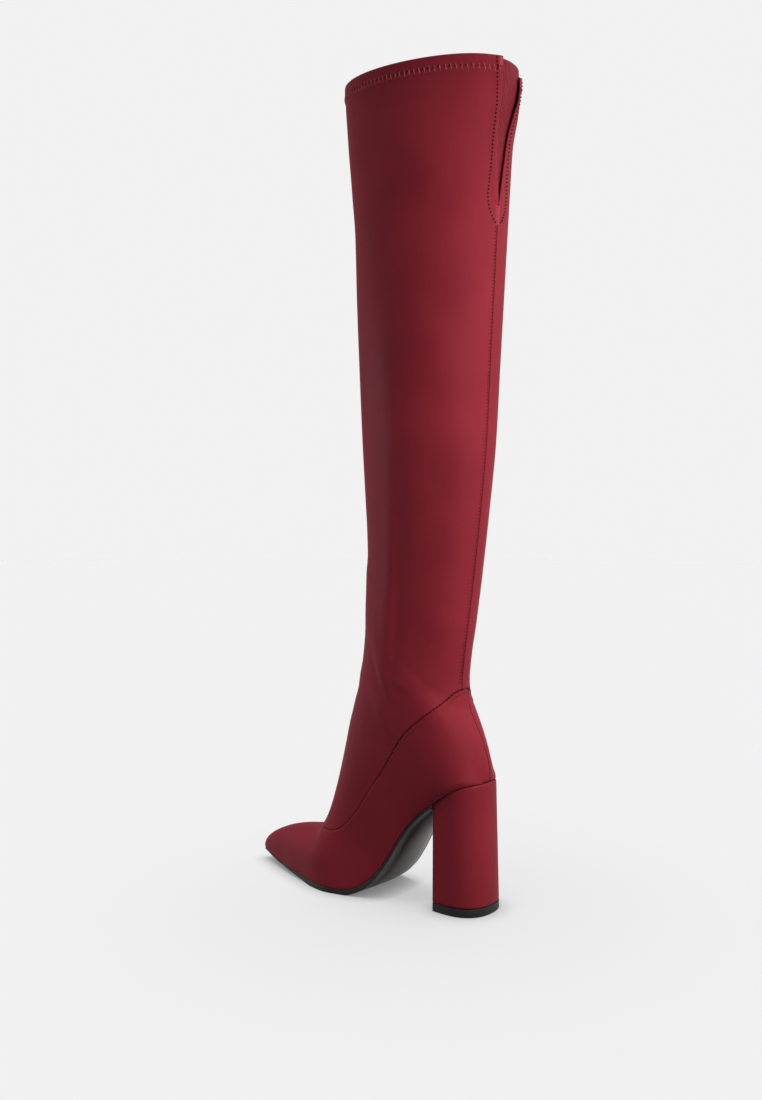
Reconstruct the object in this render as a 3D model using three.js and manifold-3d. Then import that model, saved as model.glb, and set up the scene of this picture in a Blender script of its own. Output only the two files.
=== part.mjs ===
// Thigh high boot for the left foot: stretch fabric over a pointed last, on a high covered block
// heel. Millimetres, +X to the toe, +Y to the outer side of the foot, +Z up. The origin is the
// middle of the heel's tread, on the floor.
import * as THREE from 'three';
import { mergeVertices } from 'three/addons/utils/BufferGeometryUtils.js';
import Module from 'manifold-3d';

const wasm = await Module();
wasm.setup();

// Foot and sole
const FOOT_LENGTH = 242.5; // level, from the back of the heel seat to the tip of the toe
const BALL_WIDTH = 74; // sole, across the ball of the foot
const SEAT_HEIGHT = 102; // floor to the back of the heel seat
const ANKLE_HEIGHT = 200; // floor to the bend in front of the ankle
const ANKLE_WIDTH = 75; // shaft, side to side, at its narrowest
const TOE_SPRING = 8; // floor to the tread under the tip of the toe
const SOLE_THICKNESS = 4.6; // outsole, under the ball
const SOLE_EDGE = 0.4; // how far the outsole stands out past the upper
const INSOLE_THICKNESS = 2.5;

// Leg
const BOOT_HEIGHT = 664; // floor to the middle of the rim
const TOP_DEPTH = 155; // rim, front to back
const TOP_WIDTH = 104; // rim, side to side
const WALL = 1.6; // stretch fabric and its lining
const HEM_HEIGHT = 12; // turned hem at the rim
const HEM_STEP = 0.7; // how far the doubled hem stands out
const SLIT_DEPTH = 108; // notch down the back from the rim
const SLIT_WIDTH = 21;
const BACK_TURN = 4.5; // how far round to the outer side the notch and its panel sit
const GORE_DEPTH = 124; // elastic panel behind the notch
const GORE_WIDTH = 40;
const GORE_THICKNESS = 1.2;

// Heel
const HEEL_TIP_LENGTH = 41.5; // tread of the heel, breast to back
const HEEL_TIP_WIDTH = 53;
const HEEL_FLARE = 2.5; // how far the back of the heel leans out from seat to floor
const HEEL_CORNER = 2.5; // rounding of the two breast corners
const LIFT_THICKNESS = 6.4; // rubber top piece under the heel

const CLEARANCE = 0.3; // between pieces that are glued or sewn together

const SEAT_BACK = HEEL_FLARE - HEEL_TIP_LENGTH / 2;
const BREAST = HEEL_TIP_LENGTH / 2;
const LEG_HEIGHT = BOOT_HEIGHT - ANKLE_HEIGHT;
const footX = (share) => SEAT_BACK + share * FOOT_LENGTH;

const fabric = { color: 0x6d1a26, roughness: 0.55, metalness: 0 };
const rubber = { color: 0x1b1718, roughness: 0.5, metalness: 0 };
const lining = { color: 0x8a6f5c, roughness: 0.8, metalness: 0 };

function table(columns, rows) {
  return rows.map((row) => Object.fromEntries(columns.map((column, i) => [column, row[i]])));
}

// Plan of the sole. at: share of FOOT_LENGTH from the back. outer, inner: shares of BALL_WIDTH.
const SOLE_PLAN = table(['at', 'outer', 'inner'], [
  [0.016, 0.185, -0.185],
  [0.052, 0.305, -0.305],
  [0.105, 0.352, -0.352],
  [0.170, 0.344, -0.346],
  [0.260, 0.346, -0.358],
  [0.326, 0.366, -0.408],
  [0.391, 0.408, -0.458],
  [0.449, 0.446, -0.490],
  [0.514, 0.486, -0.502],
  [0.565, 0.500, -0.502],
  [0.621, 0.458, -0.502],
  [0.704, 0.346, -0.476],
  [0.783, 0.242, -0.424],
  [0.836, 0.160, -0.376],
  [0.883, 0.087, -0.318],
  [0.949, -0.026, -0.226],
  [0.985, -0.092, -0.172],
]);
const TOE_TIP_Y = -0.135; // share of BALL_WIDTH

// Side line of the last's bottom. spring: share of TOE_SPRING. arch: share of the seat's rise.
// thick: share of SOLE_THICKNESS.
const SOLE_LINE = table(['at', 'spring', 'arch', 'thick'], [
  [0.000, 0.00, 1.000, 0.75],
  [0.040, 0.00, 0.980, 0.75],
  [0.080, 0.00, 0.940, 0.75],
  [0.120, 0.00, 0.884, 0.75],
  [0.165, 0.00, 0.806, 0.75],
  [0.200, 0.00, 0.736, 0.75],
  [0.241, 0.00, 0.642, 0.75],
  [0.286, 0.00, 0.498, 0.78],
  [0.331, 0.00, 0.316, 0.80],
  [0.375, 0.00, 0.166, 0.85],
  [0.400, 0.00, 0.106, 0.90],
  [0.424, 0.00, 0.062, 0.94],
  [0.456, 0.00, 0.022, 0.97],
  [0.492, 0.00, 0.000, 1.00],
  [0.630, 0.00, 0.000, 1.00],
  [0.715, 0.12, 0.000, 0.90],
  [0.780, 0.26, 0.000, 0.78],
  [0.836, 0.39, 0.000, 0.66],
  [0.883, 0.52, 0.000, 0.58],
  [0.949, 0.76, 0.000, 0.48],
  [1.000, 1.00, 0.000, 0.42],
]);

// Sections of the foot, each from a point of its top line to a point of the sole. topX, baseX:
// shares of FOOT_LENGTH. topZ: share of ANKLE_HEIGHT. half: widest half, share of BALL_WIDTH.
// belly: how far down the section it is widest.
const FOOT_SECTIONS = table(['topX', 'topZ', 'baseX', 'half', 'belly'], [
  [0.9960, 0.072, 0.9985, 0.030, 0.50],
  [0.9860, 0.094, 0.9865, 0.062, 0.55],
  [0.9630, 0.119, 0.9630, 0.105, 0.60],
  [0.9320, 0.142, 0.9300, 0.150, 0.62],
  [0.8790, 0.170, 0.8750, 0.220, 0.64],
  [0.8260, 0.190, 0.8180, 0.284, 0.66],
  [0.7600, 0.207, 0.7450, 0.362, 0.68],
  [0.7020, 0.214, 0.6750, 0.428, 0.70],
  [0.6560, 0.229, 0.6200, 0.474, 0.70],
  [0.6240, 0.285, 0.5650, 0.500, 0.70],
  [0.6040, 0.350, 0.5050, 0.496, 0.68],
  [0.5830, 0.460, 0.4370, 0.472, 0.62],
  [0.5600, 0.590, 0.3600, 0.455, 0.56],
  [0.5330, 0.725, 0.2800, 0.455, 0.52],
  [0.5060, 0.840, 0.1950, 0.468, 0.50],
  [0.4900, 0.925, 0.1000, 0.486, 0.48],
  [0.4820, 0.985, 0.0350, 0.494, 0.44],
  [0.4770, 1.035, 0.0040, 0.498, 0.42],
]);

// Sections through the heel counter and ankle. topX, backX: shares of FOOT_LENGTH. topZ: share of
// ANKLE_HEIGHT. backZ: share of the ankle's rise over the seat. half: share of ANKLE_WIDTH.
const ANKLE_SECTIONS = table(['topX', 'topZ', 'backX', 'backZ', 'half', 'belly'], [
  [0.4735, 1.075, 0.0025, 0.06, 0.494, 0.42],
  [0.4705, 1.110, 0.0130, 0.18, 0.496, 0.42],
  [0.4680, 1.150, 0.0390, 0.34, 0.498, 0.42],
  [0.4660, 1.190, 0.0690, 0.475, 0.500, 0.43],
  [0.4640, 1.235, 0.0900, 0.60, 0.500, 0.44],
  [0.4630, 1.285, 0.0950, 0.755, 0.500, 0.46],
  [0.4630, 1.340, 0.0880, 0.95, 0.502, 0.48],
]);

// Sections of the leg. front, back: how far the wall stands before and behind the origin, shares
// of TOP_DEPTH. frontZ, backZ: shares of LEG_HEIGHT over the ankle. half: share of TOP_WIDTH.
const LEG_SECTIONS = table(['front', 'back', 'frontZ', 'backZ', 'half'], [
  [0.600, -0.006, 0.177, 0.054, 0.366],
  [0.603, -0.039, 0.216, 0.134, 0.378],
  [0.613, -0.077, 0.280, 0.241, 0.404],
  [0.626, -0.113, 0.377, 0.362, 0.444],
  [0.639, -0.135, 0.496, 0.496, 0.474],
  [0.652, -0.157, 0.625, 0.625, 0.500],
  [0.658, -0.176, 0.733, 0.733, 0.518],
  [0.677, -0.190, 0.808, 0.808, 0.532],
  [0.700, -0.206, 0.873, 0.868, 0.530],
  [0.723, -0.242, 0.931, 0.922, 0.514],
]);
const RIM = { front: 0.739, back: -0.261, frontRise: 0.009, backRise: -0.0125, half: 0.5 };
const RIM_DIP = 4.4; // how far the rim hangs lower at the two sides than front and back

// Seam between foot and shaft, seen from the side. x: share of FOOT_LENGTH. z: share of
// ANKLE_HEIGHT.
const SEAM = table(['x', 'z'], [
  [0.0800, 0.8730],
  [0.1000, 0.8580],
  [0.1300, 0.8080],
  [0.1840, 0.7480],
  [0.2400, 0.6840],
  [0.3230, 0.5440],
  [0.4000, 0.4185],
  [0.4565, 0.3265],
  [0.5080, 0.2700],
  [0.5450, 0.2520],
  [0.5800, 0.2505],
  [0.6150, 0.2600],
  [0.6560, 0.2850],
]);

// Value of a table's column at a given place, on a smooth curve that never overshoots its rows.
function follow(rows, key, value, at) {
  const last = rows.length - 1;
  if (at <= rows[0][key]) return rows[0][value];
  if (at >= rows[last][key]) return rows[last][value];
  let i = 0;
  while (at > rows[i + 1][key]) i += 1;
  const grade = (j) => (rows[j + 1][value] - rows[j][value]) / (rows[j + 1][key] - rows[j][key]);
  const slope = (j) => {
    if (j === 0) return grade(0);
    if (j === last) return grade(last - 1);
    const before = grade(j - 1);
    const after = grade(j);
    return before * after <= 0 ? 0 : (2 * before * after) / (before + after);
  };
  const span = rows[i + 1][key] - rows[i][key];
  const t = (at - rows[i][key]) / span;
  return (2 * t ** 3 - 3 * t ** 2 + 1) * rows[i][value]
    + (t ** 3 - 2 * t ** 2 + t) * span * slope(i)
    + (3 * t ** 2 - 2 * t ** 3) * rows[i + 1][value]
    + (t ** 3 - t ** 2) * span * slope(i + 1);
}

// The sole's outline as one closed curve: tip, outer side, back, inner side.
const outlineCurve = new THREE.CatmullRomCurve3([
  new THREE.Vector3(footX(1), TOE_TIP_Y * BALL_WIDTH, 0),
  ...SOLE_PLAN.toReversed().map((row) => new THREE.Vector3(footX(row.at), row.outer * BALL_WIDTH, 0)),
  new THREE.Vector3(footX(0), 0, 0),
  ...SOLE_PLAN.map((row) => new THREE.Vector3(footX(row.at), row.inner * BALL_WIDTH, 0)),
], true, 'centripetal');
const OUTLINE_STEPS = 600;
const outlinePoints = outlineCurve.getPoints(OUTLINE_STEPS).slice(0, OUTLINE_STEPS);
const furthest = (sign) => outlinePoints.reduce(
  (best, point, i) => (sign * point.x > sign * outlinePoints[best].x ? i : best),
  0,
);

// The points of one side, from the back to the tip.
function outlineSide(from, to) {
  const side = [];
  for (let i = from; i !== to; i = (i + 1) % OUTLINE_STEPS) side.push(outlinePoints[i]);
  side.push(outlinePoints[to]);
  return side.sort((a, b) => a.x - b.x);
}
const outerSide = outlineSide(furthest(1), furthest(-1));
const innerSide = outlineSide(furthest(-1), furthest(1));

function sideY(side, x) {
  if (x <= side[0].x) return side[0].y;
  let i = 1;
  while (i < side.length - 1 && side[i].x < x) i += 1;
  const [low, high] = [side[i - 1], side[i]];
  const t = Math.min(1, (x - low.x) / Math.max(Number.EPSILON, high.x - low.x));
  return low.y + t * (high.y - low.y);
}

// Middle line and half width of the sole at x.
function planAt(x) {
  const outer = sideY(outerSide, x);
  const inner = sideY(innerSide, x);
  return { middle: (outer + inner) / 2, half: Math.max(0, (outer - inner) / 2) };
}

// Height of the last's bottom over the floor, and the outsole's thickness, at a share of the foot.
function soleAt(at) {
  const thick = SOLE_THICKNESS * follow(SOLE_LINE, 'at', 'thick', at);
  const seatRise = SEAT_HEIGHT - SOLE_THICKNESS * SOLE_LINE[0].thick;
  const z = TOE_SPRING * follow(SOLE_LINE, 'at', 'spring', at)
    + seatRise * follow(SOLE_LINE, 'at', 'arch', at) + thick;
  return { z, thick };
}

// Point of the last's bottom and the direction square to it, pointing up into the boot.
const SLOPE_REACH = 0.002; // share of the foot to each side over which its slope is taken
function soleFrame(at) {
  const low = Math.max(0, at - SLOPE_REACH);
  const high = Math.min(1, at + SLOPE_REACH);
  const run = footX(high) - footX(low);
  const rise = soleAt(high).z - soleAt(low).z;
  const length = Math.hypot(run, rise);
  return { x: footX(at), ...soleAt(at), nx: -rise / length, nz: run / length };
}

const WELD = 1e-5; // points nearer than this are one
function toSolid(geometry) {
  geometry.deleteAttribute('normal');
  geometry.deleteAttribute('uv');
  const merged = mergeVertices(geometry, WELD);
  return new wasm.Manifold(new wasm.Mesh({
    numProp: 3,
    vertProperties: new Float32Array(merged.attributes.position.array),
    triVerts: new Uint32Array(merged.index.array),
  }));
}

// Solid through a row of rings with the same number of points, capped at both ends.
function loft(rings) {
  const count = rings[0].length;
  const points = rings.flat();
  const faces = [];
  for (let r = 0; r < rings.length - 1; r += 1) {
    for (let i = 0; i < count; i += 1) {
      const a = r * count + i;
      const b = r * count + ((i + 1) % count);
      faces.push(a, b, a + count, b, b + count, a + count);
    }
  }
  const cap = (first, flip) => {
    const ring = points.slice(first, first + count);
    const centre = [0, 1, 2].map((axis) => ring.reduce((sum, p) => sum + p[axis], 0) / count);
    points.push(centre);
    for (let i = 0; i < count; i += 1) {
      const a = first + i;
      const b = first + ((i + 1) % count);
      faces.push(...(flip ? [b, a] : [a, b]), points.length - 1);
    }
  };
  cap(0, true);
  cap((rings.length - 1) * count, false);
  const corner = faces.map((i) => points[i]);
  let volume = 0;
  for (let i = 0; i < corner.length; i += 3) {
    const [a, b, c] = corner.slice(i, i + 3).map((p) => new THREE.Vector3(...p));
    volume += a.dot(b.cross(c));
  }
  if (volume < 0) {
    for (let i = 0; i < faces.length; i += 3) [faces[i], faces[i + 1]] = [faces[i + 1], faces[i]];
  }
  const geometry = new THREE.BufferGeometry();
  geometry.setAttribute('position', new THREE.Float32BufferAttribute(points.flat(), 3));
  geometry.setIndex(faces);
  return toSolid(geometry);
}

// Block with an outline of (x, z) points, reaching the same way to both sides.
function blockAcross(outline, reach) {
  const geometry = new THREE.ExtrudeGeometry(
    new THREE.Shape(outline.map(([x, z]) => new THREE.Vector2(x, z))),
    { depth: 2 * reach, bevelEnabled: false },
  );
  geometry.rotateX(Math.PI / 2);
  geometry.translate(0, reach, 0);
  return toSolid(geometry);
}

// Block with an outline of (y, z) points about the back seam, from x = 0 backwards.
function blockBehind(outline, reach) {
  const geometry = new THREE.ExtrudeGeometry(
    new THREE.Shape(outline.map(([y, z]) => new THREE.Vector2(y, z))),
    { depth: reach, bevelEnabled: false },
  );
  geometry.applyMatrix4(new THREE.Matrix4().set(0, 0, -1, 0, -1, 0, 0, 0, 0, 1, 0, 0, 0, 0, 0, 1));
  geometry.translate(0, BACK_TURN, 0);
  return toSolid(geometry);
}

// Section rings of the whole outside, from toe to rim.
const TOP_ROUND = 2.15; // 2 is an ellipse, more is squarer, less is more pointed
const BASE_ROUND = 2.3;
const COUNTER_ROUND = 1.88;
const FIRM_FROM = 0.44; // from here to the toe the section keeps its full squareness
const LEG_ROUND = 2;
const BACK_FLAT = 0.8; // half width of the flat at the back seam
const SIDE_STEPS = 7; // points on a quarter of a section
const FINER_FOOT = 2; // sections made from each row of the foot's table

// The rows of a table and as many evenly blended rows between each two.
function finer(rows, steps) {
  const counted = rows.map((row, i) => ({ ...row, row: i }));
  const columns = Object.keys(rows[0]);
  const count = (rows.length - 1) * steps;
  return Array.from({ length: count + 1 }, (_, i) => Object.fromEntries(
    columns.map((column) => [column, follow(counted, 'row', column, i / steps)]),
  ));
}

const footRows = finer(FOOT_SECTIONS, FINER_FOOT);

function footSections() {
  const rise = ANKLE_HEIGHT - SEAT_HEIGHT;
  const foot = footRows.map((row) => {
    const plan = planAt(footX(row.baseX));
    const firm = Math.min(1, row.baseX / FIRM_FROM);
    return {
      front: { x: footX(row.topX), z: row.topZ * ANKLE_HEIGHT },
      back: { x: footX(row.baseX), z: soleAt(row.baseX).z },
      middle: plan.middle,
      half: row.half * BALL_WIDTH,
      flat: Math.max(BACK_FLAT, plan.half),
      belly: row.belly,
      topRound: LEG_ROUND + (TOP_ROUND - LEG_ROUND) * firm,
      baseRound: COUNTER_ROUND + (BASE_ROUND - COUNTER_ROUND) * firm,
      dip: 0,
    };
  });
  const ankle = ANKLE_SECTIONS.map((row) => ({
    front: { x: footX(row.topX), z: row.topZ * ANKLE_HEIGHT },
    back: { x: footX(row.backX), z: SEAT_HEIGHT + row.backZ * rise },
    middle: 0,
    half: row.half * ANKLE_WIDTH,
    flat: BACK_FLAT,
    belly: row.belly,
    topRound: LEG_ROUND,
    baseRound: COUNTER_ROUND,
    dip: 0,
  }));
  return [...foot, ...ankle];
}

function legSection(front, back, half, step, dip) {
  return {
    front: { x: front.x + step, z: front.z },
    back: { x: back.x - step, z: back.z },
    middle: 0,
    half: half + step,
    flat: BACK_FLAT,
    belly: 0.5,
    topRound: LEG_ROUND,
    baseRound: LEG_ROUND,
    dip,
  };
}

function legSections() {
  const leg = LEG_SECTIONS.map((row) => legSection(
    { x: row.front * TOP_DEPTH, z: ANKLE_HEIGHT + row.frontZ * LEG_HEIGHT },
    { x: row.back * TOP_DEPTH, z: ANKLE_HEIGHT + row.backZ * LEG_HEIGHT },
    row.half * TOP_WIDTH,
    0,
    0,
  ));
  const below = leg.at(-1);
  const rimFront = { x: RIM.front * TOP_DEPTH, z: BOOT_HEIGHT + RIM.frontRise * LEG_HEIGHT };
  const rimBack = { x: RIM.back * TOP_DEPTH, z: BOOT_HEIGHT + RIM.backRise * LEG_HEIGHT };
  const rimHalf = RIM.half * TOP_WIDTH;
  const hemPlace = HEM_HEIGHT / (rimFront.z - below.front.z);
  const mix = (rim, low) => rim + (low - rim) * hemPlace;
  const hemFront = { x: mix(rimFront.x, below.front.x), z: rimFront.z - HEM_HEIGHT };
  const hemBack = { x: mix(rimBack.x, below.back.x), z: rimBack.z - HEM_HEIGHT };
  const hemHalf = mix(rimHalf, below.half);
  const hemShelf = {
    front: { x: hemFront.x, z: hemFront.z + HEM_STEP },
    back: { x: hemBack.x, z: hemBack.z + HEM_STEP },
  };
  return [
    ...leg,
    legSection(hemFront, hemBack, hemHalf, 0, RIM_DIP),
    legSection(hemShelf.front, hemShelf.back, hemHalf, HEM_STEP, RIM_DIP),
    legSection(rimFront, rimBack, rimHalf, HEM_STEP, RIM_DIP),
  ];
}

function ring(section, inset) {
  const { front, back, middle, belly, topRound, baseRound, dip } = section;
  const length = Math.hypot(back.x - front.x, back.z - front.z);
  const half = section.half - inset;
  const flat = Math.max(BACK_FLAT / 2, section.flat - inset);
  const side = [];
  for (let i = 1; i <= SIDE_STEPS; i += 1) {
    const angle = (i / SIDE_STEPS) * (Math.PI / 2);
    side.push([
      belly * (1 - Math.cos(angle) ** (2 / topRound)),
      half * Math.sin(angle) ** (2 / topRound),
    ]);
  }
  for (let i = 1; i <= SIDE_STEPS; i += 1) {
    const angle = (i / SIDE_STEPS) * (Math.PI / 2);
    side.push([
      belly + (1 - belly) * Math.sin(angle) ** (2 / baseRound),
      flat + (Math.max(half, flat) - flat) * Math.max(0, Math.cos(angle)) ** (2 / baseRound),
    ]);
  }
  const place = ([down, y]) => {
    const t = (inset + down * (length - 2 * inset)) / length;
    return [
      front.x + t * (back.x - front.x),
      middle + y,
      front.z + t * (back.z - front.z) - dip * (y / half) ** 2,
    ];
  };
  return [
    place([0, 0]),
    ...side.map(place),
    place([1, 0]),
    ...side.toReversed().map(([down, y]) => place([down, -y])),
  ];
}

const sections = [...footSections(), ...legSections()];
const PROUD = 6; // how far a cutting form runs past what it cuts

const outerForm = () => loft(sections.map((section) => ring(section, 0)));

// The hem stands out on the outside alone, so the inside follows the leg without it.
function innerForm(inset) {
  const rings = sections.slice(1).map((section, i, all) => (
    ring(section, inset + (i >= all.length - 2 ? HEM_STEP : 0))
  ));
  rings.push(rings.at(-1).map(([x, y, z]) => [x, y, z + PROUD]));
  return loft(rings);
}

// Slab along the last's bottom from one share of the foot to another. over, under: its faces'
// distances from the last's bottom, square to it. edge: how far it stands out past the plan.
// The stations are those of the foot's sections, so that stacked faces keep their gap.
const OPENING_ENDS = [0.006, 0.985];
const INSOLE_ENDS = [0.012, 0.980];
const SEAT_ROUND = 0.030; // one more station in the round of the seat
const STATION_GAP = 0.001; // stations nearer to a slab's end than this are skipped
const stations = [...footRows.map((row) => row.baseX), ...OPENING_ENDS, ...INSOLE_ENDS, SEAT_ROUND];
stations.sort((a, b) => a - b);
function soleSlab({ from, to, edge, over, under }) {
  const inside = stations.filter((at) => at > from + STATION_GAP && at < to - STATION_GAP);
  const rings = [from, ...inside, to].map((at) => {
    const line = soleFrame(at);
    const plan = planAt(line.x);
    const half = Math.max(BACK_FLAT, plan.half + edge);
    const [top, low] = [over(line), under(line)].map((depth) => (
      { x: line.x + depth * line.nx, z: line.z + depth * line.nz }
    ));
    return [
      [top.x, plan.middle + half, top.z],
      [top.x, plan.middle, top.z],
      [top.x, plan.middle - half, top.z],
      [low.x, plan.middle - half, low.z],
      [low.x, plan.middle, low.z],
      [low.x, plan.middle + half, low.z],
    ];
  });
  return loft(rings);
}

// Upper and shaft are one skin over the last, parted at the seam.
const FAR = 2 * BOOT_HEIGHT;
const opening = soleSlab({
  from: OPENING_ENDS[0],
  to: OPENING_ENDS[1],
  edge: -WALL,
  over: () => INSOLE_THICKNESS + CLEARANCE,
  under: () => -PROUD,
});
const skin = outerForm().subtract(innerForm(WALL)).subtract(opening);

const seamCurve = new THREE.SplineCurve(
  SEAM.map((row) => new THREE.Vector2(footX(row.x), row.z * ANKLE_HEIGHT)),
);
const SEAM_STEPS = 26;
function seamLine(gap) {
  return seamCurve.getPoints(SEAM_STEPS).map((point, i) => {
    const along = seamCurve.getTangent(i / SEAM_STEPS);
    return [point.x - gap * along.y, point.y + gap * along.x];
  });
}
function seamBlock(gap, above) {
  const line = seamLine(gap);
  const [firstX, firstZ] = line[0];
  const [lastX, lastZ] = line.at(-1);
  const edge = above ? FAR : -FAR;
  return blockAcross([
    [-FAR, firstZ], [firstX, firstZ], ...line.slice(1), [lastX, lastZ],
    [FAR, lastZ + (FAR - lastX)],
    [FAR, edge + (above ? FAR : 0)], [-FAR, edge],
  ], FAR);
}
const upper = skin.intersect(seamBlock(-CLEARANCE / 2, false));
const leg = skin.intersect(seamBlock(CLEARANCE / 2, true));

// Notch down the back, with sides that bow out a little.
const rimBackZ = BOOT_HEIGHT + RIM.backRise * LEG_HEIGHT;
const NOTCH_STEPS = 8;
const NOTCH_BOW = 1.6;
function notchOutline() {
  const side = [];
  for (let i = 0; i <= NOTCH_STEPS; i += 1) {
    const up = i / NOTCH_STEPS;
    side.push([(SLIT_WIDTH / 2) * (1 - (1 - up) ** NOTCH_BOW), rimBackZ - SLIT_DEPTH * (1 - up)]);
  }
  const above = rimBackZ + PROUD;
  return [
    ...side, [SLIT_WIDTH / 2, above], [-SLIT_WIDTH / 2, above],
    ...side.slice(1).toReversed().map(([y, z]) => [-y, z]),
  ];
}
const shaft = leg.subtract(blockBehind(notchOutline(), FAR));

// Shield-shaped elastic panel on the inside of the notch.
// side: share of half its width. up: share of its depth over its point.
const GORE_SIDE = table(['side', 'up'], [
  [0.50, 0.056],
  [0.84, 0.160],
]);
function goreOutline() {
  const half = GORE_WIDTH / 2;
  const low = rimBackZ - GORE_DEPTH;
  const side = GORE_SIDE.map((row) => [row.side * half, low + row.up * GORE_DEPTH]);
  side.push([half, rimBackZ + PROUD]);
  return [[0, low], ...side, ...side.toReversed().map(([y, z]) => [-y, z])];
}
const belowRim = blockAcross([
  [-FAR, rimBackZ - CLEARANCE], [FAR, rimBackZ - CLEARANCE], [FAR, -FAR], [-FAR, -FAR],
], FAR);
const gore = innerForm(WALL + CLEARANCE)
  .subtract(innerForm(WALL + CLEARANCE + GORE_THICKNESS))
  .intersect(blockBehind(goreOutline(), FAR))
  .intersect(belowRim);

const insole = soleSlab({
  from: INSOLE_ENDS[0],
  to: INSOLE_ENDS[1],
  edge: -WALL - CLEARANCE,
  over: () => INSOLE_THICKNESS,
  under: () => 0,
});

// The outsole ends against the breast of the heel.
const aheadOfHeel = blockAcross([
  [BREAST + CLEARANCE, -FAR], [FAR, -FAR], [FAR, FAR], [BREAST + CLEARANCE, FAR],
], FAR);
const UNDER_SEAT = 0.06; // share of the foot that is made behind the breast and cut off
const outsole = soleSlab({
  from: (BREAST - SEAT_BACK) / FOOT_LENGTH - UNDER_SEAT,
  to: 1,
  edge: SOLE_EDGE,
  over: () => -CLEARANCE,
  under: (line) => -line.thick,
}).intersect(aheadOfHeel);

// Plan of the heel: flat breast, rounded back.
const HEEL_ROUND = 2.3;
const HEEL_STEPS = 10; // points on the round of one side
const CORNER_STEPS = 3;
const BREAST_TAPER = 0.94; // breast width, share of the heel's widest
const WIDEST_PLACE = 0.42; // where it is widest, share of its length behind the breast
function heelRing(back, half, z) {
  const widest = BREAST - (BREAST - back) * WIDEST_PLACE;
  const breastHalf = half * BREAST_TAPER;
  const points = [];
  for (let i = 0; i <= CORNER_STEPS; i += 1) {
    const angle = (i / CORNER_STEPS) * (Math.PI / 2);
    points.push([
      BREAST - HEEL_CORNER * (1 - Math.cos(angle)),
      breastHalf - HEEL_CORNER * (1 - Math.sin(angle)),
    ]);
  }
  for (let i = 0; i <= HEEL_STEPS; i += 1) {
    const angle = (i / HEEL_STEPS) * (Math.PI / 2);
    points.push([
      widest - (widest - back) * Math.sin(angle) ** (2 / HEEL_ROUND),
      half * Math.max(0, Math.cos(angle)) ** (2 / HEEL_ROUND),
    ]);
  }
  const mirrored = points.slice(0, -1).toReversed().map(([x, y]) => [x, -y]);
  return [...points, ...mirrored].map(([x, y]) => [x, y, z]);
}

const HEEL_INSET = 0.4; // how far the top of the heel stays inside the seat
const seatHalf = Math.max(...SOLE_PLAN.slice(0, 4).map((row) => row.outer)) * BALL_WIDTH - HEEL_INSET;
const tipBack = SEAT_BACK - HEEL_FLARE;
function heelForm(low, high) {
  const ringAt = (z) => {
    const up = Math.min(1, z / SEAT_HEIGHT);
    return heelRing(
      tipBack + up * (SEAT_BACK - tipBack),
      HEEL_TIP_WIDTH / 2 + up * (seatHalf - HEEL_TIP_WIDTH / 2),
      z,
    );
  };
  return loft([ringAt(low), ringAt((low + high) / 2), ringAt(high)]);
}

// All that lies under the seat, with the seat's own stations.
function underSeat() {
  const line = stations.filter((at) => footX(at) < BREAST + HEEL_TIP_LENGTH).map((at) => {
    const place = soleFrame(at);
    return [place.x - CLEARANCE * place.nx, place.z - CLEARANCE * place.nz];
  });
  const [lastX] = line.at(-1);
  return blockAcross([
    [-FAR, -FAR], [lastX, -FAR], ...line.toReversed(), [-FAR, line[0][1]],
  ], FAR);
}
const heel = heelForm(LIFT_THICKNESS + CLEARANCE, SEAT_HEIGHT).intersect(underSeat());
const lift = heelForm(0, LIFT_THICKNESS);

function piece(name, solid, { color, roughness, metalness }) {
  const mesh = solid.getMesh();
  const geometry = new THREE.BufferGeometry();
  geometry.setAttribute('position', new THREE.Float32BufferAttribute(mesh.vertProperties, 3));
  geometry.setIndex([...mesh.triVerts]);
  geometry.computeVertexNormals();
  const part = new THREE.Mesh(
    geometry,
    new THREE.MeshStandardMaterial({ color, roughness, metalness }),
  );
  part.name = name;
  return part;
}

const boot = new THREE.Group();
boot.add(
  piece('outsole', outsole, rubber),
  piece('insole', insole, lining),
  piece('upper', upper, fabric),
  piece('shaft', shaft, fabric),
  piece('back_gore', gore, fabric),
  piece('heel', heel, fabric),
  piece('heel_lift', lift, rubber),
);

export default boot;
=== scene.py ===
import math

import bmesh
import bpy
import numpy as np
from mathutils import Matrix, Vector
from mathutils.bvhtree import BVHTree


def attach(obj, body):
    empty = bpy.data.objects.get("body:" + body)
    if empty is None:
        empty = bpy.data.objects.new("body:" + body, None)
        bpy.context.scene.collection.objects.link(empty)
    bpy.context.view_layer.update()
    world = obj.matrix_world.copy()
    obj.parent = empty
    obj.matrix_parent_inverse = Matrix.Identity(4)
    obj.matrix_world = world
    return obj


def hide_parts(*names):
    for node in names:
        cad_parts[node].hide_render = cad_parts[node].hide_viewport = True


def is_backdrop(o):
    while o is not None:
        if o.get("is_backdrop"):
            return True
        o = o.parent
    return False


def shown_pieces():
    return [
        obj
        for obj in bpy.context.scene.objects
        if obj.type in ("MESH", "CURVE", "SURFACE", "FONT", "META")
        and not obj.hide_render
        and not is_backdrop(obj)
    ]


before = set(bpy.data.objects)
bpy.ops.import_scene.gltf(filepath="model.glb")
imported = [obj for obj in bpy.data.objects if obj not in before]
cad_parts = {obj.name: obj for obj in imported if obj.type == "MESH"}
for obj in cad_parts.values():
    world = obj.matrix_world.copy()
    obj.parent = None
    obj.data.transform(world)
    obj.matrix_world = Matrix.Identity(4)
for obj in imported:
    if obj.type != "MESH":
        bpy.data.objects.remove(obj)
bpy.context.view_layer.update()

# The last: the form that the boot is pulled over. It stays behind when the boot is done, but
# every curved piece is laid out on it, so its measures come first, in millimetres and in
# shares of them, with +X to the toe, +Y to the outer side and +Z up.
FOOT = 242.5
BALL = 74.0
SEAT = 102.0
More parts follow.
